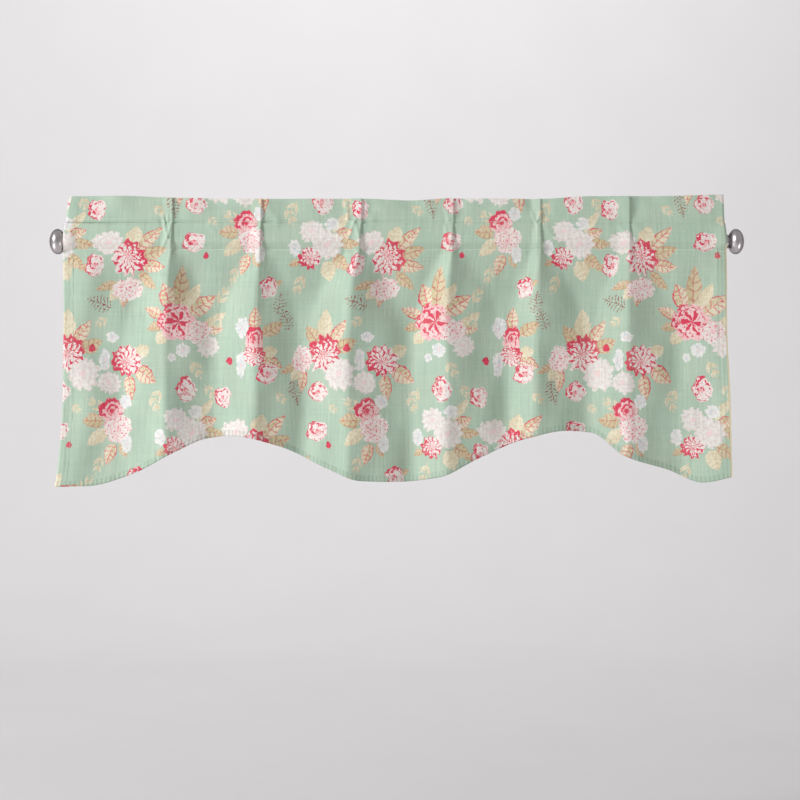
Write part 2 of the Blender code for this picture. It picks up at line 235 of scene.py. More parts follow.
# Soft unevenness of the hanging cloth: across, down: how many waves to the metre; lean: how far
# its waves slant; height: how far they stand out
Undulation = namedtuple("Undulation", "across down lean height start")
UNDULATIONS = (
    Undulation(across=9.5, down=2.1, lean=0.35, height=0.0016, start=0.6),
    Undulation(across=15.3, down=3.2, lean=-0.50, height=0.0008, start=2.1),
    Undulation(across=24.0, down=5.5, lean=0.80, height=0.0004, start=4.4),
)
HEADER_UNDULATION = 0.9
SKIRT_UNDULATES_OVER = 0.060
HEADER_UNDULATES_OVER = 0.030

# Gathers and puckers are waves of uneven pitch and strength. Two more waves shift them: amount is
# in pitches, rate in radians to the metre, and start counts the wave's own start.
Shift = namedtuple("Shift", "amount rate start")
GATHER_SHIFTS = (Shift(amount=0.35, rate=31, start=1), Shift(amount=0.20, rate=67, start=2))
FAINTEST_GATHER = 0.10
FADE_RATE = 23
FADE_START = 3
UPPER_GATHERS_START = 0.4
LOWER_GATHERS_START = 2.9
PUCKERS_START = 1.3

# The cloth puffs up beside its stitching, which lies in a groove, and is gathered unevenly
# there, most at the tucks
GROOVE = 0.0011
PUFF_HEIGHT = 0.0005
PUFF_REACH = 0.0095
GATHER_HEIGHT = 0.0014
GATHER_PITCH = 0.0165
GATHERS_AWAY_FROM_TUCKS = 0.35
TUCK_REACH = 0.032
BACK_PLY_SWELLS_OVER = 0.006

# The bottom hem puckers, and its turning and the side hems' show as low steps
PUCKER_HEIGHT = 0.0010
PUCKER_PITCH = 0.0145
PUCKER_REACH = 0.0110
HEM_GROOVE = 0.0006
HEM_GROOVE_WIDTH = 0.0009
HEM_STEP = 0.0005
HEM_STEP_WIDTH = 0.0010
SIDE_STEP = 0.0002
SIDE_STEP_WIDTH = 0.003
# SIDE_DOUBLING: how much of the doubled hems' painted shade lies on the side hems, below the pocket
SIDE_DOUBLING = 0.7

# Below the upper stitching the cloth dips back before it rounds the rod, most at its left end
DIP_DEPTH = 0.0046
DIP_MIDDLE = 0.0024
DIP_REACH = 0.0017
DIP_EVENLY = 0.30
DIP_FADE = 0.11

# Stitching: thread, and where its lines lie within the hems
THREAD_RADIUS = 0.00030
STITCH_PITCH = 0.0033
BOTTOM_LINE = 0.0070
SIDE_LINE = 0.0158
STITCH_SHARES = (0.10, 0.26, 0.74, 0.90)
STITCH_LIFTS = (-0.00025, 0.00012, 0.00012, -0.00025)
THREAD_END = 0.0012
LINE_POINTS = 1400

# The grid on the sheet: its columns about a ridge, and its rows' distances from a sewn line
TUCK_COLUMNS = np.concatenate([
    np.linspace(-0.026, -0.0165, 6)[:-1],
    np.linspace(-0.0165, -0.0015, 13)[:-1],
    np.linspace(-0.0015, 0.0045, 14)[:-1],
    np.linspace(0.0045, 0.012, 6)[:-1],
    np.linspace(0.012, 0.026, 5),
])
COLUMN_SPACING = 0.0043
NEAR_LINE = (0.0006, 0.0013, 0.0024, 0.0040, 0.0065, 0.0100)
NEAR_LINE_BEHIND_ROD = NEAR_LINE[2:]
NEAR_LINE_BEHIND_HEADER = NEAR_LINE[3:]
ARC_ROWS = 8
LIP_SHARES = (0, 0.08, 0.17, 0.31, 0.52, 0.76)
OVER_ROD_ROWS = 8
OVER_ROD_ROWS_BEHIND = 3
HEADER_SHARES = (0.15, 0.3, 0.45, 0.6, 0.8, 1.0)
HEADER_SHARES_BEHIND = (0.5, 1.0)
TOP_TURN = (-0.7, 0.0, 0.7)
SKIRT_ROWS = 24
ABOVE_HEM = (0.0140, 0.0110, 0.0096, 0.0088, 0.0080, 0.0070, 0.0062, 0.0042, 0.0020, 0.0)
HEM_TURNING = (0.0, 0.0012, 0.004, BOTTOM_HEM)
SIDE_TURNING = (0.0, 0.0014, 0.0050, 0.0090, 0.0130, SIDE_HEM)
SIDE_HEM_ROWS = 90
SIDE_HEM_GAP = 0.0009
EDGE_PLY = -0.1

# How closely curves are sampled, and a height within the header at which its top is read
MARK_LEVELS = 40
HEM_STATIONS = 600
HEM_ROUNDS = 3
POCKET_STEPS = 240
IN_HEADER = 0.060

# ---------------------------------------------------------------- how the sheet hangs


def through_points(stations, values, at):
    """Reads a curve that passes through every point of a table and never overshoots them."""
    stations = np.asarray(stations, float)
    values = np.asarray(values, float)
    steps = np.diff(stations)
    slopes = np.diff(values) / steps
    tangents = np.concatenate([slopes[:1], np.zeros(len(steps) - 1), slopes[-1:]])
    same_way = slopes[:-1] * slopes[1:] > 0
    before = (steps[:-1] + 2 * steps[1:])[same_way]
    after = (2 * steps[:-1] + steps[1:])[same_way]
    blended = before / slopes[:-1][same_way] + after / slopes[1:][same_way]
    tangents[1:-1][same_way] = (before + after) / blended
    at = np.clip(at, stations[0], stations[-1])
    i = np.clip(np.searchsorted(stations, at, side="right") - 1, 0, len(steps) - 1)
    t = (at - stations[i]) / steps[i]
    start = values[i] * (1 + 2 * t) + tangents[i] * steps[i] * t
    end = values[i + 1] * (3 - 2 * t) - tangents[i + 1] * steps[i] * (1 - t)
    return start * (1 - t) ** 2 + end * t**2


def read(table, column, at):
    """Reads a column of one of the tables above, against the table's first column."""
    stations = [row[0] for row in table]
    return through_points(stations, [getattr(row, column) for row in table], at)


def blend(start, end, share):
    return start + (end - start) * share


def eased(share):
    """0 to 1, flat at both ends."""
    share = np.clip(share, 0, 1)
    return share * share * (3 - 2 * share)


def mouth_share(flat, marks):
    """1 at the pocket's two open ends, over the collars, and 0 along the rest of the rod."""
    from_end = np.minimum(flat, marks[-1] - flat)
    return eased(1 - (from_end - MOUTH_LENGTH) / MOUTH_TAPER)


def pocket_shape(mouth, side):
    """The pocket's radius about the rod, its lower stitching, and the two turns that it wraps.

    side is 1 before the rod and -1 behind it. Turns are counted from straight down.
    """
    radius = POCKET_RADIUS + MOUTH_OPENING * mouth
    tip = LOWER_STITCH - MOUTH_DIP * mouth
    first = np.arctan2(STITCH_LEAN, -tip) + side * np.arccos(radius / np.hypot(STITCH_LEAN, tip))
    last = side * (math.pi - np.arccos(radius / UPPER_STITCH))
    return radius, tip, first, last


def pocket_depth(height, mouth, side):
    """How far before the rod's axis one side of the pocket lies, and the skirt's lean below it."""
    radius, tip, first, last = pocket_shape(mouth, side)
    low, high = -radius * np.cos(first), -radius * np.cos(last)
    on_rod = side * np.sqrt(np.clip(radius**2 - height**2, 0, None))
    above = radius * np.sin(last) * (UPPER_STITCH - height) / (UPPER_STITCH - high)
    below = blend(STITCH_LEAN, radius * np.sin(first), (height - tip) / (low - tip))
    depth = np.where(height > high, above, on_rod)
    depth = np.where(height < low, below, depth)
    closed = np.where(height < 0, STITCH_LEAN, 0)
    depth = side * np.maximum(side * depth - HALF_PLY, side * closed)
    lean = STITCH_LEAN * eased(1 - (tip - height) / LEAN_FADE)
    return np.where(height < tip, lean, depth)


Line = namedtuple("Line", "x heading turn bend arc arc_start straight straight_start")


def fold_line(height, behind):
    """The corners of the folded sheet seen from above at some heights, left edge to right edge.

    behind is 0 in front of the rod and rises to 1 behind it, where the tucks turn away from
    the rod. Returns the corners' x, their depth towards the room, and each bend's radius.
    """
    turned = blend(1, BACK_TUCK_SHARE, behind)
    lap = read(LEVELS, "lap", height) * turned
    tuck = read(LEVELS, "tuck", height) * turned
    spread = read(LEVELS, "spread", height)
    drop = read(LEVELS, "drop", height) * blend(1, -BACK_TUCK_SHARE, behind)
    radius = read(LEVELS, "radius", height)
    feet = [(FIRST_VALLEY, FIRST_VALLEY_SWELL)] + [(fold.valley, 0) for fold in FOLDS]
    edge_share = eased((LOWER_STITCH - height) / LEFT_EDGE_SWELLS_OVER)
    corners = [(read(EDGES, "left", height), LEFT_EDGE_SWELL * edge_share, radius)]
    for fold, (valley_before, swell) in zip(FOLDS, feet):
        ridge = blend(fold.head, fold.hem, np.sqrt(spread))
        depth = blend(fold.lap * lap + fold.tuck * tuck, fold.swell, spread)
        left = blend(ridge - fold.rise, valley_before + VALLEY_HALF_WIDTH, spread)
        right = blend(ridge + drop, fold.valley - VALLEY_HALF_WIDTH, spread)
        corners.append((left, swell * spread, radius * FOOT_SOFTNESS))
        corners.append((ridge, depth, radius))
        corners.append((right, 0 * depth, radius * blend(1, FOOT_SOFTNESS, spread)))
    corners.append((read(EDGES, "right", height), RIGHT_EDGE_SWELL * spread, radius))
    return tuple(np.stack(values, axis=-1) for values in zip(*corners))


def rounded(x, depth, radius):
    """The folded line as straight runs joined by arcs, each arc as wide as its runs leave room."""
    lengths = np.hypot(np.diff(x, axis=-1), np.diff(depth, axis=-1))
    heading = np.arctan2(np.diff(depth, axis=-1), np.diff(x, axis=-1))
    turn = np.diff(heading, axis=-1)
    slope = np.maximum(np.abs(np.tan(turn / 2)), SMALLEST_TURN)
    room = MOST_OF_A_RUN * np.minimum(lengths[..., :-1], lengths[..., 1:])
    trim = np.minimum(radius[..., 1:-1] * slope, room)
    bend = trim / slope
    arc = bend * np.abs(turn)
    ends = np.zeros_like(trim[..., :1])
    straight = lengths - np.concatenate([ends, trim], -1) - np.concatenate([trim, ends], -1)
    arc_start = np.cumsum(straight[..., :-1] + arc, -1) - arc
    straight_start = np.concatenate([ends, arc_start + arc], -1)
    return Line(x[..., 0], heading, turn, bend, arc, arc_start, straight, straight_start)


def line_marks(line):
    """Distance along the sheet to its left edge, the middle of each ridge and its right edge."""
    ridges = (line.arc_start + line.arc / 2)[..., 1::3]
    whole = (line.straight_start + line.straight)[..., -1:]
    return np.concatenate([0 * whole, ridges, whole], -1)


def sheet_marks():
    """Where the edges and ridges lie on the flat sheet, averaged over the hung one's heights."""
    heights = np.linspace(LEVELS[0].height, LEVELS[-1].height, MARK_LEVELS)
    line = rounded(*fold_line(heights, 0 * heights))
    return line_marks(line).mean(axis=0)


MARKS = sheet_marks()
FLAT_WIDTH = MARKS[-1]


def hung_line(flat, height, behind):
    """Place of points on the folded sheet's mid-line, and the sheet's heading there.

    flat is the distance from the left edge on the flat sheet, and height where the point hangs.
    """
    x, depth, radius = fold_line(height, behind)
    line = rounded(x, depth, radius)
    hung_marks = line_marks(line)
    i = np.clip(np.searchsorted(MARKS, flat, side="right") - 1, 0, len(MARKS) - 2)
    points = np.arange(len(flat))
    share = (flat - MARKS[i]) / (MARKS[i + 1] - MARKS[i])
    run = blend(hung_marks[points, i], hung_marks[points, i + 1], share)[:, None]
    on_straight = np.clip(run - line.straight_start, 0, line.straight)
    turned = np.sign(line.turn) * np.clip(run - line.arc_start, 0, line.arc) / line.bend
    before = line.heading[:, :-1]
    swing = line.bend * np.sign(line.turn)
    along_x = (np.cos(line.heading) * on_straight).sum(-1)
    along_x += (swing * (np.sin(before + turned) - np.sin(before))).sum(-1)
    along_depth = (np.sin(line.heading) * on_straight).sum(-1)
    along_depth -= (swing * (np.cos(before + turned) - np.cos(before))).sum(-1)
    heading = line.heading[:, 0] + turned.sum(-1)
    return x[:, 0] + along_x, depth[:, 0] + along_depth, heading


def hem_heights(flat):
    """The hem's height at each column, from where that column reaches the hem."""
    height = np.full(len(flat), HEMS[0].height)
    for _ in range(HEM_ROUNDS):
        x = hung_line(flat, height, np.zeros(len(flat)))[0]
        height = read(HEMS, "height", x)
    return height


def creased(x, height):
    """How far the creases about the tucks stand out of the cloth."""
    out = np.zeros(len(x))
    for crease in CREASES:
        start_x = FOLDS[crease.tuck].head + crease.x * MILLIMETRE
        start_z = crease.z * MILLIMETRE
        run_x = (crease.x_end - crease.x) * MILLIMETRE
        run_z = (crease.z_end - crease.z) * MILLIMETRE
        length = math.hypot(run_x, run_z)
        along = ((x - start_x) * run_x + (height - start_z) * run_z) / length**2
        aside = ((x - start_x) * run_z - (height - start_z) * run_x) / length
        reach = crease.width * MILLIMETRE
        past = np.clip(np.abs(along - 0.5) - 0.5, 0, None) * length
        fall = np.exp(-((aside / reach) ** 2) - (past / reach) ** 2)
        out += crease.height * MILLIMETRE * fall
    return out


def uneven_wave(flat, pitch, start):
    """A wave of uneven length along the sheet, between 0 and 1."""
    bent = flat / pitch
    for shift in GATHER_SHIFTS:
        bent = bent + shift.amount * np.sin(flat * shift.rate + shift.start * start)
    strength = blend(FAINTEST_GATHER, 1, 0.5 + 0.5 * np.sin(flat * FADE_RATE + FADE_START * start))
    return strength * (0.5 + 0.5 * np.sin(2 * math.pi * bent))


def near_tuck(flat):
    """1 at the tucks and 0 far from them."""
    away = np.min(np.abs(flat[:, None] - MARKS[None, 1:-1]), axis=1)
    return np.exp(-((away / TUCK_REACH) ** 2))


def beside_stitching(away, flat, start):
    """How far the cloth puffs up at a distance from a sewn line, which itself lies in a groove."""
    share = blend(GATHERS_AWAY_FROM_TUCKS, 1, near_tuck(flat))
    gathers = GATHER_HEIGHT * uneven_wave(flat, GATHER_PITCH, start) * share
    out_of_groove = 1 - np.exp(-((away / GROOVE) ** 2))
    return (PUFF_HEIGHT + gathers) * out_of_groove * np.exp(-away / PUFF_REACH)


def undulating(flat, height):
    """The soft unevenness of the skirt, and less of it in the header."""
    in_skirt = eased((LOWER_STITCH - height) / SKIRT_UNDULATES_OVER)
    in_header = HEADER_UNDULATION * np.clip((height - UPPER_STITCH) / HEADER_UNDULATES_OVER, 0, 1)
    out = np.zeros(len(flat))
    for wave in UNDULATIONS:
        turns = wave.across * (flat + wave.lean * height) + wave.down * height
        out += wave.height * np.sin(2 * math.pi * turns + wave.start)
    return out * (in_skirt + in_header)


def dipping(flat, height):
    """How far the cloth lies back just below its upper stitching."""
    below = (UPPER_STITCH - height - DIP_MIDDLE) / DIP_REACH
    return DIP_DEPTH * blend(DIP_EVENLY, 1, np.exp(-flat / DIP_FADE)) * np.exp(-(below**2))


def relief(flat, height, x, side):
    """How far the cloth stands out of its plain folds, towards the room."""
    from_hem = height - np.interp(flat, HEM_FLATS, HEM_LINE)
    from_side = np.minimum(flat, FLAT_WIDTH - flat)
    out = undulating(flat, height) + creased(x, height)
    out += beside_stitching(np.abs(height - UPPER_STITCH), flat, UPPER_GATHERS_START)
    out += beside_stitching(np.abs(height - LOWER_STITCH), flat, LOWER_GATHERS_START)
    puckers = uneven_wave(flat, PUCKER_PITCH, PUCKERS_START)
    out += PUCKER_HEIGHT * puckers * np.exp(-np.clip(from_hem, 0, None) / PUCKER_REACH)
    out += HEM_STEP * eased((BOTTOM_HEM - from_hem) / HEM_STEP_WIDTH + 0.5)
    out -= HEM_GROOVE * np.exp(-(((from_hem - BOTTOM_LINE) / HEM_GROOVE_WIDTH) ** 2))
    out += SIDE_STEP * eased((SIDE_HEM - from_side) / SIDE_STEP_WIDTH + 0.5)
    if side < 0:
        share = eased((height - UPPER_STITCH) / BACK_PLY_SWELLS_OVER)
        out = np.minimum(out, 0) + np.maximum(out, 0) * share
    return out - dipping(flat, height)


def top_heights(flat):
    """The header's top at each column."""
    in_header = np.full(len(flat), IN_HEADER)
    return read(TOPS, "height", hung_line(flat, in_header, np.zeros(len(flat)))[0])


HEM_FLATS = np.linspace(0, FLAT_WIDTH, HEM_STATIONS)
HEM_LINE = hem_heights(HEM_FLATS)


def hung_points(flat, height, side, ply):
    """World points of the hung sheet.

    side is 1 on the ply before the rod and -1 behind it. ply says how many half plies before
    the folds' middle the sheet lies.
    """
    pocket = pocket_depth(height, mouth_share(flat, MARKS), side)
    opening = np.clip(-pocket / (POCKET_RADIUS - HALF_PLY), 0, 1)
    behind = np.clip(opening * BACK_TURN_RATE, 0, 1) if side < 0 else 0 * opening
    x, depth, heading = hung_line(flat, height, behind)
    swing = SWING_BACK * read(LEVELS, "spread", height)
    depth = depth + pocket - swing + relief(flat, height, x, side)
    x = x - HALF_PLY * ply * np.sin(heading)
    depth = depth + HALF_PLY * ply * np.cos(heading)
    return np.stack([x, -depth, height], axis=-1)


def column_flats():
    """Distances along the flat sheet at which the grid's columns stand."""
    columns = np.zeros(1)
    for tuck in [ridge + TUCK_COLUMNS for ridge in MARKS[1:-1]] + [[FLAT_WIDTH]]:
        count = math.ceil((tuck[0] - columns[-1]) / COLUMN_SPACING)
        between = np.linspace(columns[-1], tuck[0], count + 1)[1:]
        columns = np.concatenate([columns, between, tuck[1:]])
    return columns


def pocket_rows(mouth, side):
    """Heights of the rows of one side of the pocket, from its lower stitching up to its upper."""
    radius, tip, first, last = pocket_shape(mouth, side)
    arc = [-radius * np.cos(blend(first, last, share)) for share in np.linspace(0, 1, ARC_ROWS)]
    if side > 0:
        near, lip_shares, count = NEAR_LINE, LIP_SHARES, OVER_ROD_ROWS
    else:
        near, lip_shares, count = NEAR_LINE_BEHIND_ROD, LIP_SHARES[:1], OVER_ROD_ROWS_BEHIND
    below = [blend(tip, arc[0], share) for share in lip_shares]
    above = [blend(arc[-1], UPPER_STITCH - near[-1], i / count) for i in range(1, count)]
    return below + arc + above + [UPPER_STITCH - away + 0 * mouth for away in near[::-1]]


def sheet_rows(top, hem, mouth):
    """Height, side and ply of each row of the grid, from the turned edge over the top to the hem."""
    crown = top - HALF_PLY
    tip = LOWER_STITCH - MOUTH_DIP * mouth
    header = {}
    behind = (-1, NEAR_LINE_BEHIND_HEADER, HEADER_SHARES_BEHIND)
    for side, near, shares in (behind, (1, NEAR_LINE, HEADER_SHARES)):
        header[side] = [UPPER_STITCH + away + 0 * mouth for away in (0, *near)]
        header[side] += [blend(header[side][-1], crown, share) for share in shares]
    rows = [(tip + TURNED_EDGE - LOWER_STITCH, -1, -1)]
    rows += [(height, -1, -1) for height in pocket_rows(mouth, -1) + header[-1]]
    rows += [(crown + HALF_PLY * math.sqrt(1 - turn**2), turn, turn) for turn in TOP_TURN]
    rows += [(height, 1, 1) for height in header[1][::-1] + pocket_rows(mouth, 1)[::-1]]
    rows += [(tip - away, 1, 1) for away in NEAR_LINE]
    start, stop = tip - NEAR_LINE[-1], hem + ABOVE_HEM[0]
    rows += [(blend(start, stop, step / SKIRT_ROWS), 1, 1) for step in range(1, SKIRT_ROWS)]
    rows += [(hem + away, 1, 1) for away in ABOVE_HEM]
    rows += [(hem - HALF_PLY, 1, blend(1, HEM_PLY, 0.5))]
    rows += [(hem + turned, 1, HEM_PLY) for turned in HEM_TURNING]
    return rows


POCKET_STATIONS = np.linspace(LOWER_STITCH, UPPER_STITCH, POCKET_STEPS)


def pocket_arc(side):
    """Distance along one side of the pocket to each of its stations, from its lower stitching."""
    depths = pocket_depth(POCKET_STATIONS, 0 * POCKET_STATIONS, side)
    return np.concatenate([[0], np.cumsum(np.hypot(np.diff(POCKET_STATIONS), np.diff(depths)))])


POCKET_ARCS = {side: pocket_arc(side) for side in (1, -1)}


def cloth_height(height, side=1):
    """Distance up the sheet, 0 at the lower stitching, at the height given on one of its sides."""
    below = np.minimum(height - LOWER_STITCH, 0)
    above = np.maximum(height - UPPER_STITCH, 0)
    arc = POCKET_ARCS[side]
    return below + above + np.interp(height, POCKET_STATIONS, arc) - arc[-1] + POCKET_ARCS[1][-1]


def lengthwise(height, side, ply, top, hem):
    """Where a row lies along the length of the flat sheet, counted up from the lower stitching."""
    if side < 0:
        return 2 * cloth_height(top) - cloth_height(height, -1)
    if side == 1 and ply < 1:
        return 2 * cloth_height(hem) - cloth_height(height)
    return cloth_height(height)


# ---------------------------------------------------------------- shader nodes


class Wiring:
    """Adds shader nodes to one tree. Inputs are sockets to link, or values to set."""

    def __init__(self, tree):
        self.tree = tree

    def add(self, kind, inputs, **settings):
        node = self.tree.nodes.new("ShaderNode" + kind)
        for name, value in settings.items():
            setattr(node, name, value)
        for key, value in inputs.items():
            if isinstance(value, bpy.types.NodeSocket):
                self.tree.links.new(value, node.inputs[key])
            else:
                node.inputs[key].default_value = value
        return node

    def group(self, tree, inputs):
        return self.add("Group", inputs, node_tree=tree).outputs

    def math(self, operation, *values, clamp=False):
        inputs = dict(enumerate(values))
        return self.add("Math", inputs, operation=operation, use_clamp=clamp).outputs[0]

    def plus(self, one, other, clamp=False):
        return self.math("ADD", one, other, clamp=clamp)

    def minus(self, one, other, clamp=False):
        return self.math("SUBTRACT", one, other, clamp=clamp)

    def times(self, one, other, clamp=False):
        return self.math("MULTIPLY", one, other, clamp=clamp)

    def times_plus(self, one, other, added, clamp=False):
        return self.math("MULTIPLY_ADD", one, other, added, clamp=clamp)

    def vector(self, operation, *values):
        node = self.add("VectorMath", dict(enumerate(values)), operation=operation)
        return node.outputs["Vector"]

    def measure(self, operation, *values):
        node = self.add("VectorMath", dict(enumerate(values)), operation=operation)
        return node.outputs["Value"]

    def join(self, x, y, z=0.0):
        return self.add("CombineXYZ", {0: x, 1: y, 2: z}).outputs[0]

    def split(self, vector):
        return self.add("SeparateXYZ", {0: vector}).outputs

    def choose(self, share, start, end):
        """A number between two others."""
        return self.add("Mix", {0: share, 2: start, 3: end}, data_type="FLOAT").outputs[0]

    def choose_place(self, share, start, end):
        """A vector between two others."""
        return self.add("Mix", {0: share, 4: start, 5: end}, data_type="VECTOR").outputs[1]

    def tint(self, share, start, end, blend_type="MIX"):
        """A colour between two others."""
        inputs = {0: share, 6: solid(start), 7: solid(end)}
        return self.add("Mix", inputs, data_type="RGBA", blend_type=blend_type).outputs[2]

    def soft_step(self, value, start, end, low=0.0, high=1.0):
        """low where value is under start, high where it is over end, and a soft step between."""
        if start > end:
            start, end, low, high = end, start, high, low
        inputs = {"Value": value, "From Min": start, "From Max": end, "To Min": low, "To Max": high}
        return self.add("MapRange", inputs, interpolation_type="SMOOTHSTEP").outputs[0]

    def noise(self, place, scale, detail=0.0):
        inputs = {"Vector": place, "Scale": scale, "Detail": detail}
        return self.add("TexNoise", inputs, noise_dimensions="2D").outputs["Fac"]

    def by_kind(self, kind, values):
        """Picks one of several colours by a whole number."""
        node = self.add("ValToRGB", {0: self.math("DIVIDE", kind, len(values))})
        node.color_ramp.interpolation = "CONSTANT"
        elements = node.color_ramp.elements
        while len(elements) < len(values):
            elements.new(1.0)
        for i, value in enumerate(values):
            elements[i].position = max(0, (i - 0.25) / len(values))
            elements[i].color = (*value, 1)
        return node.outputs[0]


def solid(value):
    """A colour with its alpha, or the socket itself."""
    return value if isinstance(value, bpy.types.NodeSocket) else (*value, 1)


def new_group(name, inputs, outputs):
    """An empty shader node group. Returns its wiring, its inputs and a function to set outputs."""
    tree = bpy.data.node_groups.new(name, "ShaderNodeTree")
    for label, kind in inputs:
        tree.interface.new_socket(label, in_out="INPUT", socket_type="NodeSocket" + kind)
    for label, kind in outputs:
        tree.interface.new_socket(label, in_out="OUTPUT", socket_type="NodeSocket" + kind)
    entry = tree.nodes.new("NodeGroupInput")
    leave = tree.nodes.new("NodeGroupOutput")

    def put_out(**values):
        for label, value in values.items():
            tree.links.new(value, leave.inputs[label])

    return tree, Wiring(tree), entry.outputs, put_out


# ---------------------------------------------------------------- the printed bouquets

SAGE = (0.405, 0.525, 0.420)
CRIMSON = (0.640, 0.055, 0.105)
DEEP_RED = (0.460, 0.030, 0.065)
WINE = (0.300, 0.055, 0.060)
RUST = (0.480, 0.120, 0.095)
PINK = (0.790, 0.400, 0.420)
BLUSH = (0.785, 0.610, 0.600)
WHITE = (0.760, 0.735, 0.705)
PETAL_GREY = (0.630, 0.560, 0.530)
BLUE_WHITE = (0.585, 0.615, 0.645)
BLUE_GREY = (0.480, 0.560, 0.560)
CREAM = (0.615, 0.530, 0.365)
PALE_CREAM = (0.715, 0.660, 0.500)
GOLD = (0.520, 0.450, 0.250)
TAN = (0.500, 0.380, 0.235)
BROWN = (0.300, 0.150, 0.100)

# The half-drop repeat, in millimetres: one step across, and one step down and half across
REPEAT_ACROSS = 427.0
REPEAT_DOWN = 298.0

# What a flower is painted like. pointed: 1 for pointed petals and 0 for round ones; rim: where
# its dark rim starts on its dark side, in radii; wedges: how broad the strokes between its petals
# are; crescents: how broad the ones behind its petals' lips are; flames: how far the dark middles
# of its petals run out; rows: rings of petals; swirl: how they wind about the heart.
Bloom = namedtuple(
    "Bloom", "petals rows swirl pointed rim wedges crescents flames flecks field shade ink heart"
)
BLOOM_KINDS = {
    "mum": Bloom(11, 3.2, 0.0, 1.0, 0.70, 0.72, 0.1, 0.0, 0.3, WHITE, BLUSH, CRIMSON, BLUSH),
    "rose": Bloom(4, 2.4, 1.0, 0.3, 0.80, 0.15, 0.9, 0.0, 0.3, BLUSH, PINK, CRIMSON, CRIMSON),
    "blush": Bloom(9, 2.2, 0.0, 0.0, 1.60, 0.12, 0.3, 0.0, 0.8, WHITE, BLUSH, PINK, BLUSH),
    "white": Bloom(12, 2.6, 0.0, 0.3, 1.60, 0.08, 0.1, 0.0, 0.0, WHITE, PETAL_GREY, BLUSH, BLUSH),
    "blue": Bloom(5, 1.2, 0.0, 0.0, 1.60, 0.20, 0.2, 0.0, 0.0, WHITE, BLUE_WHITE, BLUE_GREY, BLUSH),
    "peony": Bloom(6, 1.6, 0.0, 0.0, 0.86, 0.08, 0.3, 1.0, 0.2, BLUSH, PINK, CRIMSON, WHITE),
    "bud": Bloom(4, 1.7, 0.6, 0.0, 0.80, 0.06, 0.5, 0.0, 0.4, WHITE, BLUSH, CRIMSON, PINK),
    "berry": Bloom(3, 1.0, 0.0, 1.0, 0.10, 0.00, 1.0, 0.0, 0.0, CRIMSON, CRIMSON, CRIMSON, CRIMSON),
}
MOST_PETALS = 16
MOST_ROWS = 4
MOST_RIM = 2

# What a leaf is painted like. pairs: pairs of side veins; leaflets: 1 for a sprig of them, and
# breadth says how broad they are; dotted: how far its lines break up into dots
LeafKind = namedtuple("LeafKind", "veins outline leaflets pairs breadth dotted fill shade line")
LEAF_KINDS = {
    "cream": LeafKind(0.40, 0.15, 0, 4.0, 0.3, 0.0, PALE_CREAM, CREAM, TAN),
    "lined": LeafKind(0.80, 1.00, 0, 5.0, 0.3, 0.0, PALE_CREAM, GOLD, CRIMSON),
    "tan": LeafKind(0.75, 0.45, 0, 4.5, 0.3, 0.0, CREAM, GOLD, RUST),
    "twig": LeafKind(0.30, 0.00, 1, 8.0, 0.18, 0.9, WINE, BROWN, BROWN),
    "spray": LeafKind(0.40, 0.00, 1, 2.6, 0.30, 0.1, PALE_CREAM, CREAM, TAN),
}
MOST_PAIRS = 8

# Where each bouquet stands in the repeat, in millimetres across and up the flat sheet
BOUQUETS = {
    "great mum": (99.7, -14.8),
    "lone bud": (207.6, 10.4),
    "rose posy": (297.3, 26.2),
    "white posy": (415.3, 10.4),
    "zinnia": (99.7, -175.6),
    "peony": (186.0, -114.1),
    "slender": (310.6, -147.3),
    "full posy": (433.5, -166.2),
}

